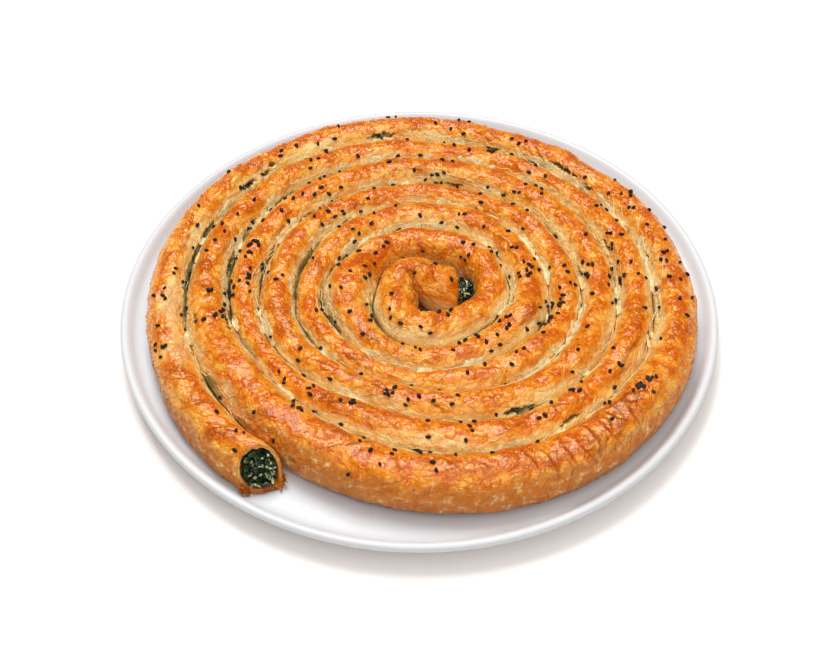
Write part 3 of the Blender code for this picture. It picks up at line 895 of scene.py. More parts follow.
def makePhylloMaterial():
    material, tree, shader = newMaterial("bakedPhyllo")
    place = readAttribute(tree, "rollMap", "Vector")
    crust, toast, cellTone, blisterCreaseShade, valley, base, fold, torn, flank, sideways, leakAndShade = (
        readAttribute(tree, key) for key in rollKeys)
    flakes = addFlakes(tree, place, 0.21, 0.1)
    tinyFlakes = addFlakes(tree, place, 0.44, 0.12)
    crepe = addCrepe(tree, place, 0.55, 1.5)
    fineNoise = addNoise(tree, place, 0.42, 3.0, roughness=0.6).outputs["Fac"]
    creamNoise = addNoise(tree, place, 0.16, 4.0, roughness=0.65).outputs["Fac"]

    # browned along the crown, gold down the sides, with every flake a little different
    bias = plus(tree, remap(tree, sideways, 0.1, 0.85, 0.16, -0.16),
                remap(tree, flakes["Tone"], 0.0, 1.0, -0.06, 0.06))
    tones = (phyllo["goldPale"], phyllo["gold"], phyllo["goldDeep"])
    mottle = addMottle(tree, place, 0.085, tones, bias)
    gold = layColors(tree, mottle["Color"], [
        (remap(tree, fineNoise, 0.54, 0.74, 0.0, 0.45), "goldPale"),
        (remap(tree, cellTone, 0.6, 1.0, 0.0, 0.3), "goldDeep"),
        (remap(tree, toast, 0.15, 0.9, 0.0, 0.75), "toasted"),
        # painted shade in the dips between blisters
        (times(tree, blisterCreaseShade, 0.3), "goldDeep"),
        # browned flake edges, with painted shade in the dips between the flakes
        (times(tree, flakes["Edges"], remap(tree, fineNoise, 0.42, 0.6, 0.03, 0.38)), "toasted"),
        # painted highlight: pale crackle along the edges of small flakes, where they catch the light
        (times(tree, tinyFlakes["Edges"], remap(tree, fineNoise, 0.58, 0.38, 0.0, 0.24)), "goldPale")])
    cream = layColors(tree, phyllo["cream"], [
        (remap(tree, creamNoise, 0.4, 0.66), "creamShade"),
        (remap(tree, crepe["Tops"], 0.5, 0.0, 0.0, 0.35), "creamShade"),
        (remap(tree, creamNoise, 0.52, 0.75, 0.0, 0.5), "goldPale"),
        # painted shade down into the grooves between turns
        (remap(tree, valley, 0.2, 0.9, 0.0, 0.45), "groove"),
        (remap(tree, valley, 0.6, 0.95, 0.0, 0.8), "grooveDeepShade")])
    bareFlank = layColors(tree, phyllo["tan"], [
        (remap(tree, cellTone, 0.0, 1.0, 0.25, 0.85), "flankGold"),
        (remap(tree, creamNoise, 0.45, 0.64, 0.0, 0.6), "tan"),
        (remap(tree, creamNoise, 0.47, 0.32, 0.0, 0.85), "cream"),
        (times(tree, tinyFlakes["Edges"], 0.35), "goldDeep"),
        (remap(tree, toast, 0.1, 0.7, 0.0, 0.8), "toasted")])
    skin = mixColor(tree, crust, mixColor(tree, flank, cream, bareFlank), gold)
    skin = layColors(tree, skin, [
        # filling through the skin low in the grooves, partly painted shade
        (remap(tree, leakAndShade, 0.32, 0.78, 0.0, 0.88), "mossyAndShade"),
        (times(tree, fold, remap(tree, toast, 0.0, 0.5, 0.75, 0.92)), "toasted"),
        (remap(tree, base, 0.0, 1.0, 0.0, 0.8), "baseBrown")])
    inSplit = layColors(tree, phyllo["hollow"], [(remap(tree, creamNoise, 0.44, 0.56), "greenThrough")])
    skin = mixColor(tree, torn, skin, inSplit)

    # tiny dark oven specks
    specks = addNode(tree, "ShaderNodeTexVoronoi", None, {"Vector": place, "Scale": 0.36}).outputs
    speckSize = remap(tree, specks["Distance"], 0.035, 0.085, 1.0, 0.0)
    speckPick = addNode(tree, "ShaderNodeSeparateColor", None, {"Color": specks["Color"]}).outputs[0]
    speckShare = times(tree, times(tree, speckSize, remap(tree, speckPick, 0.78, 0.86)), 0.6)

    rough = mixColor(tree, crust, (0.34, 0.34, 0.34), (0.21, 0.21, 0.21))
    feed(tree, shader, {
        "Base Color": layColors(tree, skin, [(speckShare, "toasted")]),
        "Roughness": times(tree, rough, remap(tree, fineNoise, 0.3, 0.7, 0.8, 1.35)),
        "Coat Weight": times(tree, remap(tree, crust, 0.2, 0.9, 0.12, 0.28),
                             remap(tree, toast, 0.2, 0.9, 1.0, 0.8)),
        "Coat Roughness": 0.1, "Specular IOR Level": 0.75, "Specular Tint": (1.0, 0.74, 0.28),
        "Subsurface Weight": 0.12, "Subsurface Radius": (1.0, 0.45, 0.2), "Subsurface Scale": 0.0015})

    fine = addNoise(tree, place, 1.6, 3.0, roughness=0.55, distortion=0.6).outputs["Fac"]
    relief = times(tree, crepe["Height"], 0.22)
    for height, share in ((fine, 0.12), (flakes["Height"], 0.95), (tinyFlakes["Height"], 0.42)):
        relief = plus(tree, relief, times(tree, height, share))
    addBump(tree, shader, 0.9, 0.0007, relief)
    return material


phylloMaterial = makePhylloMaterial()


# the roll itself, in three lengths, with a layered lip at both cut ends

lip = {
    # inset from the roll's skin and reach along it, mm
    "rings": [(0.6, 0.45), (1.3, 0.15), (2.0, 0.4), (2.8, -0.1), (3.3, -1.0), (3.4, -3.4)],
    "floorDepth": -3.8,
    # how far each ring is browned, from the lip to the pocket's floor
    "crust": (1.0, 0.95, 0.7, 0.75, 0.8, 0.0, 0.0),
    "toast": (0.55, 0.4, 0.1, 0.4, 0.7, 0.8, 0.0),
    "pocketFrom": 5,               # the ring from which the filling's dark pocket shows
}


def endFrame(row):
    # middle of a cut end, the way outwards from the coil's middle, and the way along the roll
    return (np.array([row[0], row[1], coil["restOn"] + row[5] / 2.0]),
            np.array([row[2], row[3], 0.0]), np.array([-row[3], row[2], 0.0]))


def endRings(ring, row, way):
    # rings from the skin over the ragged lip and down into the pocket; way is +1 at the outer end
    middle, _, heading = endFrame(row)
    heading = heading * way
    reach = ring - middle
    size = np.linalg.norm(reach, axis=1, keepdims=True)
    low = np.clip(-reach[:, 2] / (row[5] / 2.0), 0.0, 1.0)
    angle = np.linspace(0.0, 9.0, len(ring))
    fray = 0.6 * lineNoise(angle * 4.0, 211) + 0.4 * lineNoise(angle * 9.0, 212)
    rings = []
    for index, (inset, depth) in enumerate(lip["rings"]):
        rough = 0.5 * waveNoise(angle * 3.0, angle * 0.0 + index * 3.3, 201)
        thick = (0.8 + 0.3 * low) * inset + 0.6 * rough
        share = 1.0 - np.clip(thick, 0.05, None) * mm / size[:, 0]
        push = depth + (rough + fray * (0.7 + 1.3 * low)) * (1.0 if depth > -1.0 else 0.0)
        rings.append(middle + reach * share[:, None] + heading * push[:, None] * mm)
    rings.append(middle + reach * 0.45 + heading * lip["floorDepth"] * mm)
    return rings, middle + heading * lip["floorDepth"] * mm, low


def buildRoll():
    names = ("pastryRollInner", "pastryRollMiddle", "pastryRollOuter")
    count = len(crustPoints)
    cuts = [0, count // 3, 2 * count // 3, count - 1]
    columns = crustPoints.shape[1]
    for part in range(3):
        first, last = cuts[part], cuts[part + 1] + 1
        points = crustPoints[first:last].reshape(-1, 3)
        shading = crustNormals[first:last].reshape(-1, 3)
        values = {key: fields[key][first:last].ravel() for key in rollKeys}
        place = np.stack([roll["s"][first:last].ravel(), roll["v"][first:last].ravel()], -1)
        rows = last - first
        closing = []
        for atEnd in (False, True):
            edge = np.arange(columns) + (rows - 1) * columns if atEnd else np.arange(columns)
            isCut = (part == 0 and not atEnd) or (part == 2 and atEnd)
            previous = edge
            if isCut:
                ring = crustPoints[-1] if atEnd else crustPoints[0]
                row = roll["rows"][-1] if atEnd else roll["rows"][0]
                extra, centre, low = endRings(ring, row, 1.0 if atEnd else -1.0)
                for index, more in enumerate(extra):
                    start = len(points)
                    points = np.vstack([points, more])
                    shading = np.vstack([shading, np.zeros_like(more)])
                    place = np.vstack([place, place[edge] + (index + 1) * 0.7])
                    for key in rollKeys:
                        values[key] = np.concatenate([values[key], np.zeros(columns)])
                    values["crust"][start:] = np.maximum(lip["crust"][index], 1.3 * low)
                    values["toast"][start:] = np.clip(1.2 * low, lip["toast"][index], 0.9)
                    values["sideways"][start:] = 0.7
                    values["base"][start:] = values["base"][edge] * 0.5
                    values["torn"][start:] = 1.0 if index >= lip["pocketFrom"] else 0.0
                    current = np.arange(columns) + start
                    after = np.roll(previous, -1), np.roll(current, -1)
                    quads = np.stack([previous, *after, current], -1)
                    closing.append(quads[:, ::-1] if atEnd else quads)
                    previous = current
            else:
                centre = points[edge].mean(axis=0)
            tip = len(points)
            points = np.vstack([points, centre[None, :]])
            shading = np.vstack([shading, np.zeros((1, 3))])
            place = np.vstack([place, place[edge[:1]]])
            for key in rollKeys:
                values[key] = np.concatenate([values[key], [1.0 if key == "torn" else 0.0]])
            fan = np.stack([previous, np.roll(previous, -1), np.full(columns, tip)], -1)
            closing.append(fan[:, ::-1] if atEnd else fan)
        allFaces = gridFaces(rows, columns).tolist()
        for more in closing:
            allFaces += more.tolist()
        values["rollMap"] = np.column_stack([place, np.zeros(len(place))])
        piece = makePiece(names[part], points, allFaces, phylloMaterial,
                          normals=shading.tolist(), attributes=values)
        if part == 0:
            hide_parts("pastry_coil")
        print(names[part], len(allFaces))


buildRoll()


# plate

plate = {
    "radius": 0.175, "height": 0.017, "well": 0.011, "foot": 0.108, "segments": 240,
    "glaze": ((0.655, 0.67, 0.695), (0.645, 0.66, 0.685), (0.635, 0.65, 0.675)),
    # painted light: the rim's glaze is lighter to offset the shade on the rim
    "rimPaintedLight": (0.7, 0.71, 0.725),
    "rimLightFrom": (0.159, 0.171),     # over which radii the glaze turns to the rim's lighter tone, a painted light
}


def makePlateMaterial():
    material, tree, shader = newMaterial("plateGlaze")
    place = objectPlace(tree)
    mottle = addMottle(tree, place, 14.0, plate["glaze"])
    fromMiddle = vectorMath(tree, "LENGTH", vectorMath(tree, "MULTIPLY", place, (1.0, 1.0, 0.0)))
    # painted light: the glaze lightens towards the rim
    rim = remap(tree, fromMiddle, *plate["rimLightFrom"])
    feed(tree, shader, {
        "Base Color": mixColor(tree, rim, mottle["Color"], plate["rimPaintedLight"]),
        "Roughness": remap(tree, mottle["Tone"], 0.3, 0.7, 0.26, 0.34),
        "Specular IOR Level": 0.28, "Coat Weight": 0.05, "Coat Roughness": 0.12})
    addBump(tree, shader, 0.1, 0.0006, addNoise(tree, place, 45.0, 1.0).outputs["Fac"])
    return material


def plateProfile():
    edge, top, well, foot = plate["radius"], plate["height"], plate["well"], plate["foot"]
    return [
        (0.0, 0.005), (foot - 0.008, 0.005), (foot - 0.0062, 0.0046), (foot - 0.0052, 0.0012),
        (foot - 0.0044, 0.0002), (foot - 0.003, 0.0), (foot - 0.0014, 0.0),
        (foot - 0.0004, 0.0003), (foot + 0.0012, 0.003), (foot + 0.0034, 0.0041),
        (edge - 0.05, 0.0052), (edge - 0.033, 0.0062), (edge - 0.018, 0.0076),
        (edge - 0.008, 0.0094), (edge - 0.003, 0.0108), (edge - 0.0012, 0.0119),
        (edge - 0.0003, 0.0132), (edge, 0.0144), (edge - 0.0001, 0.0155), (edge - 0.0006, 0.0164),
        (edge - 0.0015, 0.01685), (edge - 0.0026, top), (edge - 0.0036, 0.01675),
        (edge - 0.0046, 0.0161), (edge - 0.0057, 0.015), (edge - 0.007, 0.0134),
        (edge - 0.0082, 0.0121), (edge - 0.0096, 0.01135), (edge - 0.0115, well + 0.0001),
        (edge - 0.014, well), (edge - 0.06, well), (0.0, well)]


def buildPlate():
    profile = plateProfile()
    segments = plate["segments"]
    angle = np.arange(segments) * 2.0 * np.pi / segments
    points = [(0.0, 0.0, profile[0][1])]
    rings = []
    for radius, z in profile[1:-1]:
        rings.append(len(points))
        ring = [radius * np.cos(angle), radius * np.sin(angle), np.full(segments, z)]
        points += np.column_stack(ring).tolist()
    points.append((0.0, 0.0, profile[-1][1]))
    top = len(points) - 1
    faces = []
    for k in range(segments):
        after = (k + 1) % segments
        faces.append((0, rings[0] + after, rings[0] + k))
        faces.append((top, rings[-1] + k, rings[-1] + after))
        for low, high in zip(rings, rings[1:]):
            faces.append((low + k, low + after, high + after, high + k))
    piece = makePiece("servingPlate", points, faces, makePlateMaterial())
    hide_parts("serving_plate")


buildPlate()
print("plate built")


# heights seen from above, for everything that lies on the pastry

ground = {"cell": 0.0008, "half": 0.172}


def topHeights():
    size = int(2 * ground["half"] / ground["cell"])
    field = np.full((size, size), coil["restOn"])
    flat = crustPoints.reshape(-1, 3)
    ix = ((flat[:, 0] + ground["half"]) / ground["cell"]).astype(int)
    iy = ((flat[:, 1] + ground["half"]) / ground["cell"]).astype(int)
    np.maximum.at(field, (ix, iy), flat[:, 2])
    # single cells the points stepped over take their neighbours' height
    around = np.stack([np.roll(field, step, axis) for step in (-1, 1) for axis in (0, 1)])
    return np.where(field < np.median(around, axis=0) - 0.002, np.median(around, axis=0), field)


def softened(field, passes):
    for _ in range(passes):
        field = (field + np.roll(field, 1, 0) + np.roll(field, -1, 0)) / 3.0
        field = (field + np.roll(field, 1, 1) + np.roll(field, -1, 1)) / 3.0
    return field


def heightAt(field, x, y):
    u = (np.asarray(x) + ground["half"]) / ground["cell"] - 0.5
    v = (np.asarray(y) + ground["half"]) / ground["cell"] - 0.5
    iu = np.clip(np.floor(u).astype(int), 0, field.shape[0] - 2)
    iv = np.clip(np.floor(v).astype(int), 0, field.shape[1] - 2)
    fu = u - iu
    fv = v - iv
    low = blend(field[iu, iv], field[iu + 1, iv], fu)
    high = blend(field[iu, iv + 1], field[iu + 1, iv + 1], fu)
    return blend(low, high, fv)


topField = topHeights()
softField = softened(topField, 4)
print("heights ready")


# what lies in the grooves: stretched skin, threads and bits of filling

dressing = {
    "films": 150, "filmLength": (7.0, 26.0), "filmWidth": (1.4, 4.2), "filmThick": 0.12,
    "threads": 330, "threadLength": (4.0, 24.0), "threadSize": (0.1, 0.3), "seed": 61,
    "tones": ((0.9, 0.74, 0.42), (0.8, 0.56, 0.22), phyllo["gold"]),
    "turns": (0.75, 5.62),         # from where to where the grooves are dressed
    # where they lie across the groove, mm
    "filmOffset": (-2.6, 3.2), "threadOffset": (-3.0, 3.4), "threadDrift": 2.2,
}


def groovePoint(turn, offset):
    angle = 2.0 * np.pi * turn
    radius = grooveRadius(turn) + handWobble(turn) + offset
    return coil["centre"][0] + radius * np.cos(angle), coil["centre"][1] + radius * np.sin(angle)


def alongGroove(turn, share, length):
    # turns that run evenly over a length of the groove round this one
    return turn + (share - 0.5) * length / grooveRadius(turn) / (2.0 * np.pi)


def pickGrooves(rng, count):
    # turns spread evenly over the grooves' length, more where they lie open
    turns = rng.uniform(*dressing["turns"], count * 12)
    keep = rng.rand(len(turns)) < (0.2 + 0.8 * grooveOpen(turns)) * grooveRadius(turns) / 0.15
    return turns[keep][:count]


def buildFilms(material):
    rng = np.random.RandomState(dressing["seed"])
    points = []
    faces = []
    along, wide = 22, 6
    t = np.linspace(0.0, 1.0, along)[:, None]
    w = np.linspace(-1.0, 1.0, wide)[None, :]
    for turn in pickGrooves(rng, dressing["films"]):
        length = rng.uniform(*dressing["filmLength"]) * mm
        width = rng.uniform(*dressing["filmWidth"]) * mm / 2.0
        start, end = rng.uniform(*dressing["filmOffset"], 2) * mm
        turns = alongGroove(turn, t, length)
        ragged = 1.0 + 0.35 * waveNoise(t * length / mm / 2.5 + turn * 40.0, w * 0.9, 402)
        taper = np.clip(4.0 * t * (1.0 - t), 0.0, 1.0) ** 0.35
        offset = blend(start, end, t) + w * width * taper * ragged
        x, y = groovePoint(turns, offset)
        z = heightAt(softField, x, y) * 0.5 + heightAt(topField, x, y) * 0.5
        z = z + (0.25 + 0.25 * waveNoise(t * length / mm / 1.6, w * 1.4 + turn * 30.0, 403)) * mm
        z = z - (np.abs(w) ** 3) * 0.35 * mm
        top = np.stack([x + 0.0 * w, y + 0.0 * w, z], -1).reshape(-1, 3)
        low = top - [0.0, 0.0, dressing["filmThick"] * mm]
        base = len(points) * along * wide * 2
        points.append(np.vstack([top, low]))
        upper = gridFaces(along, wide, False) + base
        lower = gridFaces(along, wide, False)[:, ::-1] + base + along * wide
        rim = np.concatenate([np.arange(wide), np.arange(1, along) * wide + wide - 1,
                              np.arange(wide - 2, -1, -1) + (along - 1) * wide,
                              np.arange(along - 2, 0, -1) * wide])
        after = np.roll(rim, -1)
        edge = np.stack([rim, after, after + along * wide, rim + along * wide], -1) + base
        faces += [upper, lower, edge]
    makePiece("stretchedSkin", np.vstack(points), np.vstack(faces), material)


def tubesAlong(paths, radii, sides=5):
    # round strands along paths: paths (count, steps, 3), radii (count, steps)
    step = unit(np.gradient(paths, axis=1))
    side = unit(np.cross(step, upwards))
    up = np.cross(side, step)
    angle = np.arange(sides) * 2.0 * np.pi / sides
    ring = (side[:, :, None, :] * np.cos(angle)[None, None, :, None]
            + up[:, :, None, :] * np.sin(angle)[None, None, :, None])
    points = paths[:, :, None, :] + ring * radii[:, :, None, None]
    count, steps = paths.shape[:2]
    faces = gridFaces(steps, sides)
    every = steps * sides
    body = (faces[None] + (np.arange(count) * every)[:, None, None]).reshape(-1, 4).tolist()
    for k in range(count):
        body.append(list(range(k * every, k * every + sides)))
        body.append(list(range((k + 1) * every - 1, (k + 1) * every - sides - 1, -1)))
    return points.reshape(-1, 3), body


def buildThreads(material):
    rng = np.random.RandomState(dressing["seed"] + 1)
    steps = 18
    t = np.linspace(0.0, 1.0, steps)
    turns = pickGrooves(rng, dressing["threads"])
    paths = []
    radii = []
    for turn in turns:
        length = rng.uniform(*dressing["threadLength"]) * mm
        start = rng.uniform(*dressing["threadOffset"]) * mm
        end = start + rng.normal(0.0, dressing["threadDrift"]) * mm
        wave = 0.5 * lineNoise(t * length / mm / 3.0 + turn * 70.0, 411) * mm
        x, y = groovePoint(alongGroove(turn, t, length), blend(start, end, t) + wave)
        z = blend(heightAt(topField, x, y), heightAt(softField, x, y), 0.5) + 0.15 * mm
        z = z + (0.25 + 0.3 * lineNoise(t * 3.0 + turn * 50.0, 412)) * mm
        paths.append(np.stack([x, y, z], -1))
        size = rng.uniform(*dressing["threadSize"]) * mm
        radii.append(size * (0.35 + 0.65 * np.sin(np.pi * t) ** 0.5))
    points, faces = tubesAlong(np.array(paths), np.array(radii))
    makePiece("phylloThreads", points, faces, material)


def makeSkinMaterial():
    # thin pale phyllo that light passes into
    material, tree, shader = newMaterial("palePhyllo")
    place = placeInMm(tree)
    mottle = addMottle(tree, place, 0.22, dressing["tones"], -0.07)
    crepe = addCrepe(tree, place, 0.9)
    feed(tree, shader, {
        "Base Color": mottle["Color"], "Roughness": 0.42, "Subsurface Weight": 0.25,
        "Subsurface Radius": (1.0, 0.7, 0.3), "Subsurface Scale": 0.001})
    addBump(tree, shader, 0.6, 0.0003, crepe["Height"])
    return material


paleSkin = makeSkinMaterial()
buildFilms(paleSkin)
buildThreads(paleSkin)
print("grooves dressed")


# filling

filling = {
    # pale, middle and deep
    "leafTones": ((0.095, 0.145, 0.06), (0.028, 0.055, 0.022), (0.006, 0.014, 0.007)),
    "cheeseTones": ((0.86, 0.84, 0.66), (0.76, 0.7, 0.36), (0.6, 0.57, 0.26)),
    "wall": 0.0031,                # the pastry's thickness at a cut end
    "leafWall": 0.0034,            # the same with a little room, for leaves
    "seed": 71,
    "endLeaves": 130, "endCrumbs": 13, "endCurls": 17, "splitLeaves": 8,
    # how far they stand in or out of a cut end, and what share of the end they cover
    "leafDepth": (-0.003, 0.0006, 0.86), "crumbDepth": (0.0, 0.0016, 0.95),
    "curlDepth": (0.001, 0.0024, 0.95), "curlSag": 0.14,
    "crumbSize": (0.0004, 0.001),
    # lengths and widths
    "leafSize": ((0.0026, 0.0052), (0.0016, 0.003)), "curlSize": ((0.0016, 0.0042), (0.0009, 0.0016)),
    "spillSize": ((0.002, 0.0048), (0.0008, 0.0018)), "splitSize": ((0.0014, 0.003), (0.0007, 0.0014)),
    "leafySplit": 1.6,             # mm of half width from which leaves show in a split
    # leaves that spill from the inner end into the coil's middle: middle, spread and number
    "spill": ((0.0305, 0.006, 0.0165), (0.003, 0.0095, 0.0062), 210),
}


def makeLeafMaterial():
    material, tree, shader = newMaterial("spinachLeaf")
    place = placeInMm(tree)
    mottle = addMottle(tree, place, 0.3, filling["leafTones"], 0.05)
    crepe = addCrepe(tree, place, 0.7)
    feed(tree, shader, {
        "Base Color": mottle["Color"], "Roughness": 0.22, "Coat Weight": 0.7, "Coat Roughness": 0.08})
    addBump(tree, shader, 0.4, 0.0003, crepe["Height"])
    return material


def makeCheeseMaterial():
    material, tree, shader = newMaterial("whiteCheese")
    place = placeInMm(tree)
    mottle = addMottle(tree, place, 0.6, filling["cheeseTones"], -0.05)
    feed(tree, shader, {
        "Base Color": mottle["Color"], "Roughness": 0.5,
        "Subsurface Weight": 0.3, "Subsurface Scale": 0.0012})
    addBump(tree, shader, 0.6, 0.0003, addNoise(tree, place, 2.4, 3.0).outputs["Fac"])
    return material


def randomFrames(rng, count, facing=None, lean=1.0):
    # right-handed frames; the third axis leans away from facing by a random amount
    third = rng.normal(0.0, 1.0, (count, 3)) * lean
    if facing is not None:
        third = third + facing
    third = unit(third)
    first = unit(np.cross(third, rng.normal(0.0, 1.0, (count, 3))))
    return np.stack([first, np.cross(third, first), third], 1)


def crumpledLeaves(rng, places, frames, lengths, widths):
    # each leaf is a small curled sheet with its own folds
    along, wide = 9, 6
    a = np.linspace(-1.0, 1.0, along)[None, :, None]
    b = np.linspace(-1.0, 1.0, wide)[None, None, :]
    count = len(places)
    curl = rng.uniform(-1.6, 1.6, (count, 1, 1))
    cupping = rng.uniform(0.6, 2.2, (count, 1, 1))
    wave = rng.uniform(0.0, 6.28, (count, 1, 1))
    outline = np.clip(1.0 - (a * 0.96) ** 2, 0.0, 1.0) ** 0.3 * (1.0 + 0.2 * np.sin(a * 9.0 + wave))
    bent = b * cupping
    x = a * np.cos(curl * a * 0.5) * lengths[:, None, None] + 0.0 * b
    y = np.sin(bent) / cupping * outline * widths[:, None, None]
    z = (1.0 - np.cos(bent)) / cupping * outline * widths[:, None, None]
    z = z + np.sin(curl * a * 0.5) * a * lengths[:, None, None] * 0.5
    z = z + 0.12 * widths[:, None, None] * np.sin(a * 7.0 + b * 4.0 + wave * 3.0)
    local = np.stack([x + 0.0 * z, y + 0.0 * z, z + 0.0 * y], -1).reshape(count, -1, 3)
    points = np.einsum("kpi,kij->kpj", local, frames) + places[:, None, :]
    faces = gridFaces(along, wide, False)[None] + (np.arange(count) * along * wide)[:, None, None]
    return points.reshape(-1, 3), faces.reshape(-1, 4)


def leafBatch(rng, places, facing, sizes):
    # places, frames, lengths and widths for one group of leaves
    count = len(places)
    return (places, randomFrames(rng, count, facing), *(rng.uniform(*size, count) for size in sizes))


def joinBatches(batches):
    return [np.concatenate(part) for part in zip(*batches)]


def crumbShape(around=8, levels=6):
    def ringPoint(k, j):
        tilt = math.pi * k / levels
        angle = 2.0 * math.pi * (j + 0.5 * k) / around
        size = 1.0 + 0.28 * math.sin(3.1 * angle + 5.0 * tilt)
        size += 0.15 * math.sin(5.3 * angle - 7.0 * tilt)
        return (size * math.sin(tilt) * math.cos(angle), size * math.sin(tilt) * math.sin(angle),
                -size * math.cos(tilt))

    points, faces = closedShape(around, levels, ringPoint)
    return np.array([(0.0, 0.0, -1.0), *points, (0.0, 0.0, 1.0)]), faces


def endPlaces(rng, row, way, count, deepest, proudest, reach):
    # random places over a cut end, in its leaning plane
    half, height, lean = row[4] - filling["wall"], row[5] / 2.0 - filling["wall"], row[6]
    middle, outward, heading = endFrame(row)
    angle = rng.uniform(0.0, 2.0 * np.pi, count)
    size = np.sqrt(rng.uniform(0.0, 1.0, count)) * reach
    across = half * size * np.cos(angle)
    up = height * size * np.sin(angle)
    depth = rng.uniform(deepest, proudest, count) * way - lean * up
    return middle + outward * across[:, None] + upwards * up[:, None] + heading * depth[:, None]


def keepInMouth(points, row):
    # leaves at a cut end stay inside its pastry wall
    middle, outward, _ = endFrame(row)
    wall = filling["leafWall"]
    away = points - middle
    across = away @ outward
    size = np.hypot(across / (row[4] - wall), away[:, 2] / (row[5] / 2.0 - wall))
    pull = 1.0 / np.maximum(size, 1.0) - 1.0
    return points + outward * (across * pull)[:, None] + upwards * (away[:, 2] * pull)[:, None]


def buildFilling():
    rng = np.random.RandomState(filling["seed"])
    ends = ((roll["rows"][-1], 1.0), (roll["rows"][0], -1.0))
    leaves = []
    crumbs = []
    curls = []
    for row, way in ends:
        heading = endFrame(row)[2] * way
        places = endPlaces(rng, row, way, filling["endLeaves"], *filling["leafDepth"])
        leaves.append(leafBatch(rng, places, heading * 0.9, filling["leafSize"]))
        crumbs.append(endPlaces(rng, row, way, filling["endCrumbs"], *filling["crumbDepth"]))
        places = endPlaces(rng, row, way, filling["endCurls"], *filling["curlDepth"])
        places[:, 2] -= filling["curlSag"] * (places[:, 2] - coil["restOn"])
        curls.append(leafBatch(rng, places, heading * 0.8, filling["curlSize"]))
    where, spread, count = filling["spill"]
    places = np.array(where) + rng.uniform(-1.0, 1.0, (count, 3)) * np.array(spread)
    leaves.append(leafBatch(rng, places, None, filling["spillSize"]))
    for spot in pastry["splits"]:
        if spot[3] < filling["leafySplit"]:
            continue
        rows = nearOval(roll, spot, 1.0)[0]
        rowsIn, columnsIn = np.nonzero(fields["torn"][rows] > 0.4)
        if len(rowsIn) == 0:
            continue
        pick = rng.randint(0, len(rowsIn), filling["splitLeaves"])
        at = (rowsIn[pick] + rows.start, columnsIn[pick])
        places = crustPoints[at] + crustNormals[at] * 0.5 * mm
        leaves.append(leafBatch(rng, places, crustNormals[at] * 1.5, filling["splitSize"]))
    parts = joinBatches(leaves)
    points, faces = crumpledLeaves(rng, *parts)
    perLeaf = len(points) // len(parts[0])
    inMouth = filling["endLeaves"] * perLeaf
    points[:inMouth] = keepInMouth(points[:inMouth], roll["rows"][-1])
    points[:, 2] = np.maximum(points[:, 2], coil["restOn"] + 0.0002)
    leafPiece = makePiece("spinachLeaves", points, faces, makeLeafMaterial())
    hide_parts("spinach_filling")
    places = np.concatenate(crumbs)
    sizes = rng.uniform(*filling["crumbSize"], (len(places), 1))
    sizes = sizes * rng.uniform(0.7, 1.3, (len(places), 3))
    points, faces = placeCopies(*crumbShape(), places, randomFrames(rng, len(places)), sizes)
    cheese = makeCheeseMaterial()
    makePiece("cheeseCrumbs", points, faces, cheese)
    points, faces = crumpledLeaves(rng, *joinBatches(curls))
    inMouth = filling["endCurls"] * perLeaf
    points[:inMouth] = keepInMouth(points[:inMouth], roll["rows"][-1])
    makePiece("cheeseCurls", points, faces, cheese)


buildFilling()
print("filling built")


# loose browned bits: shards at the outer cut end, and the crust at the bottom of the coil's middle

crisps = {
    "shards": 20, "shardSize": ((0.0014, 0.0034), (0.0008, 0.0018)), "seed": 81,
    "cornerHeight": 0.3, "cornerAside": 0.62,      # where the cut's lower corners begin, as shares
    "shardReach": (-0.0006, 0.001), "shardLift": 0.0012,
    "hole": (0.013, 0.004), "holeRadius": 0.0215, "holeHeight": 0.0022,
}


def bakedAttributes(points, toast, base):
    ones = np.ones(len(points))
    values = {key: ones * 0.0 for key in rollKeys}
    values["crust"] = ones
    values["toast"] = ones * toast
    values["base"] = ones * base
    values["cellTone"] = ones * 0.5
    values["sideways"] = ones * 0.4
    x, y, z = (points / mm).T
    values["rollMap"] = np.column_stack([x, y + z, ones * 0.0])
    return values


def buildCrisps():
    rng = np.random.RandomState(crisps["seed"])
    row = roll["rows"][-1]
    rim = crustPoints[-1]
    low = rim[:, 2] < coil["restOn"] + crisps["cornerHeight"] * row[5]
    aside = np.abs((rim[:, :2] - row[:2]) @ row[2:4]) > crisps["cornerAside"] * row[4]
    corners = rim[low & aside]
    count = crisps["shards"]
    places = corners[rng.randint(0, len(corners), count)]
    places = places + endFrame(row)[2] * rng.uniform(*crisps["shardReach"], (count, 1))
    places[:, 2] = np.maximum(places[:, 2], coil["restOn"] + crisps["shardLift"])
    points, faces = crumpledLeaves(rng, *leafBatch(rng, places, None, crisps["shardSize"]))
    points[:, 2] = np.maximum(points[:, 2], coil["restOn"] + 0.0001)
    makePiece("crispShards", points, faces, phylloMaterial,
              attributes=bakedAttributes(points, 0.85, 0.0))

    around, steps = 64, 18
    angle = np.arange(around) * 2.0 * np.pi / around
    radius = np.linspace(0.0, 1.0, steps + 1)[1:, None] * crisps["holeRadius"]
    x = crisps["hole"][0] + radius * np.cos(angle)
    y = crisps["hole"][1] + radius * np.sin(angle)
    z = coil["restOn"] + crisps["holeHeight"] * (0.7 + 0.5 * layeredNoise(x / 0.006, y / 0.006, 221))
    points = np.vstack([np.stack([x, y, z], -1).reshape(-1, 3),
                        [[*crisps["hole"], coil["restOn"] + crisps["holeHeight"]]]])
    points[-1 - around:-1, 2] = coil["restOn"]
    faces = gridFaces(steps, around)[:, ::-1].tolist()
    faces += [(k, (k + 1) % around, len(points) - 1) for k in range(around)]
    makePiece("middleCrust", points, faces, phylloMaterial,
              attributes=bakedAttributes(points, 1.0, 1.0))


buildCrisps()
print("crisps built")


# seeds

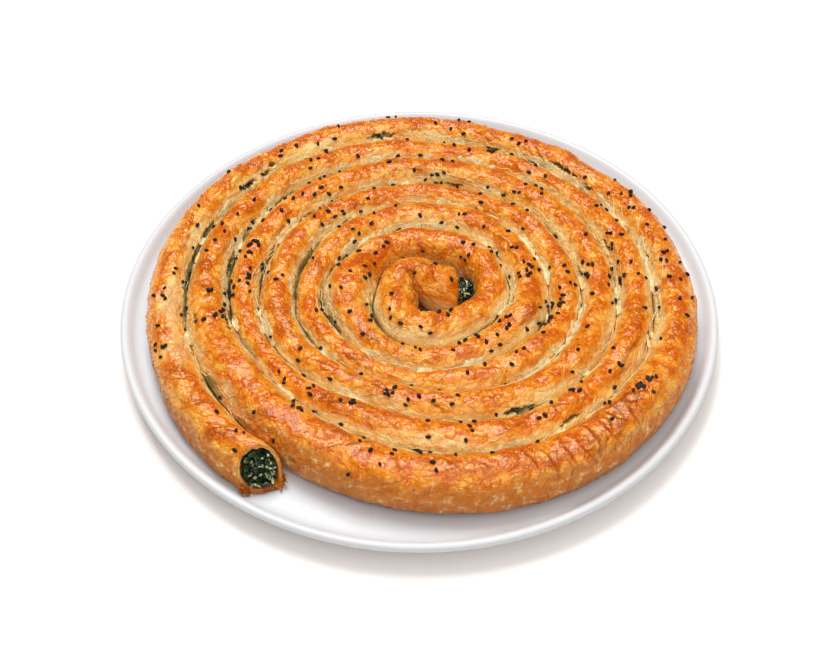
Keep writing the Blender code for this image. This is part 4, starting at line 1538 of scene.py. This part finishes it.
seeds = {
    "scattered": 380, "length": 0.00162, "width": 0.00099, "thick": 0.0008, "seed": 23,
    "topRoom": 0.00005,            # kept free under the part's highest point
    "apart": 0.0013,               # least distance between two seeds
    "upward": 0.35,                # how far up the skin has to face for a seed to stay on it
    "patch": 0.032,                # size of the denser and thinner areas
    "sizes": (0.85, 1.15), "raised": 0.75,
    "tones": ((0.02, 0.017, 0.016), (0.01, 0.009, 0.009), (0.005, 0.005, 0.005)),
    # heaps the hand left: x, y in mm from the plate's middle, spread in mm, seeds
    "heaps": [
        (-100, 31, 7, 9), (-109, -3, 7, 12), (-112, -28, 5, 8), (64, 10, 8, 9), (79, -12, 7, 11),
        (74, -26, 6, 9), (12, 92, 7, 9), (-36, -93, 3, 6), (-1, -125, 2.5, 7), (121, -83, 3, 6),
        (127, -78, 2.5, 5), (118, -86, 2, 4), (-14, -83, 5, 5), (-60, 96, 10, 7), (-64, -97, 6, 5)],
}


def seedShape(around=9, levels=6):
    # a drop with three faint lobes, pointed towards one end
    def ringPoint(k, j):
        t = k / levels
        angle = 2.0 * math.pi * j / around
        size = math.sin(math.pi * t ** 0.85) ** 0.6 * (1.0 + 0.1 * math.cos(3.0 * angle + 0.8 * t))
        return (-1.0 + 2.0 * t, size * math.cos(angle), size * math.sin(angle))

    points, faces = closedShape(around, levels, ringPoint)
    return np.array([(-1.0, 0.0, 0.0), *points, (1.0, 0.0, 0.0)]), faces


def makeSeedMaterial():
    material, tree, shader = newMaterial("blackSeeds")
    place = objectPlace(tree)
    mottle = addMottle(tree, place, 900.0, seeds["tones"])
    feed(tree, shader, {
        "Base Color": mottle["Color"], "Roughness": remap(tree, mottle["Tone"], 0.3, 0.7, 0.5, 0.65),
        "Specular IOR Level": 0.25})
    pits = addNode(tree, "ShaderNodeTexVoronoi", None, {"Vector": place, "Scale": 3800.0})
    addBump(tree, shader, 0.5, 0.00006, pits.outputs["Distance"])
    return material


def buildSeeds():
    rng = np.random.RandomState(seeds["seed"])
    # candidates are the upward points of the roll
    rowsAt, columnsAt = np.nonzero(crustNormals[:, :, 2] > seeds["upward"])
    spots = crustPoints[rowsAt, columnsAt]
    patchy = waveNoise(*(spots[:, :2] / seeds["patch"]).T, 301) * 0.5 + 0.55
    back = 0.75 + 0.25 * smoothStep(-0.12, 0.02, spots[:, 1])
    weight = np.clip(patchy, 0.12, 1.0) * crustNormals[rowsAt, columnsAt, 2] * back
    weight /= weight.sum()
    chosen = rng.choice(len(spots), seeds["scattered"], replace=False, p=weight).tolist()
    for x, y, spread, count in seeds["heaps"]:
        for _ in range(count):
            want = np.array([x, y]) * mm + rng.normal(0.0, spread * 0.5, 2) * mm
            away = ((spots[:, :2] - want) ** 2).sum(axis=1)
            chosen.append(int(np.argmin(away - 0.02 * spots[:, 2] * mm)))
    kept = []
    for index in chosen:
        if all(((spots[index] - spots[other]) ** 2).sum() > seeds["apart"] ** 2 for other in kept):
            kept.append(index)
    places = spots[kept]
    normal = crustNormals[rowsAt[kept], columnsAt[kept]]
    turn = rng.uniform(0.0, 2.0 * np.pi, len(kept))
    flat = np.column_stack([np.cos(turn), np.sin(turn), rng.normal(0.0, 0.15, len(kept))])
    axis = unit(flat - normal * (flat * normal).sum(axis=1, keepdims=True))
    side = np.cross(normal, axis)
    size = rng.uniform(*seeds["sizes"], (len(kept), 1))
    sizes = size * np.array([[seeds["length"], seeds["width"], seeds["thick"]]])
    places = places + normal * sizes[:, 2:] * seeds["raised"]
    points, faces = placeCopies(*seedShape(), places, np.stack([axis, side, normal], 1), sizes)
    points[:, 2] = np.minimum(points[:, 2], cadHigh.z - seeds["topRoom"])
    makePiece("scatteredSeeds", points, faces, makeSeedMaterial())
    print("seeds", len(kept))


buildSeeds()


# floor and light

light = {
    "world": 0.05,
    # name, watts, size and place of each lamp; all look at the pie
    "lamps": [
        ("overhead", 49.0, 3.0, (0.0, 0.2, 3.0)), ("softBox", 205.0, 2.4, (-0.75, 2.3, 4.9)),
        ("frontFill", 30.0, 1.8, (0.5, -1.9, 2.1))],
    "floor": (0.92, 0.865, 0.828), "floorSize": 6.0, "floorDrop": 0.0002,
    "floorGlow": 0.07, "glowTint": (1.0, 0.975, 0.955),
}


def buildStage():
    bpy.ops.mesh.primitive_plane_add(size=light["floorSize"], location=(0.0, 0.0, -light["floorDrop"]))
    floor = bpy.context.object
    floor.name = "floor"
    material, tree, shader = newMaterial("floorPaper")
    feed(tree, shader, {
        "Base Color": light["floor"], "Roughness": 0.9, "Specular IOR Level": 0.1,
        "Emission Color": light["glowTint"], "Emission Strength": light["floorGlow"]})
    floor.data.materials.append(material)

    world = bpy.data.worlds.new("studio")
    world.use_nodes = True
    feed(world.node_tree, world.node_tree.nodes["Background"], {
        "Color": (1.0, 1.0, 1.0), "Strength": light["world"]})
    bpy.context.scene.world = world

    for name, power, size, place in light["lamps"]:
        data = bpy.data.lights.new(name, "AREA")
        data.energy = power
        data.size = size
        lamp = bpy.data.objects.new(name, data)
        lamp.location = place
        lamp.rotation_euler = (Vector(place) * -1.0).to_track_quat("-Z", "Y").to_euler()
        bpy.context.scene.collection.objects.link(lamp)
    bpy.context.scene.view_settings.view_transform = "Standard"


buildStage()
print("finished")
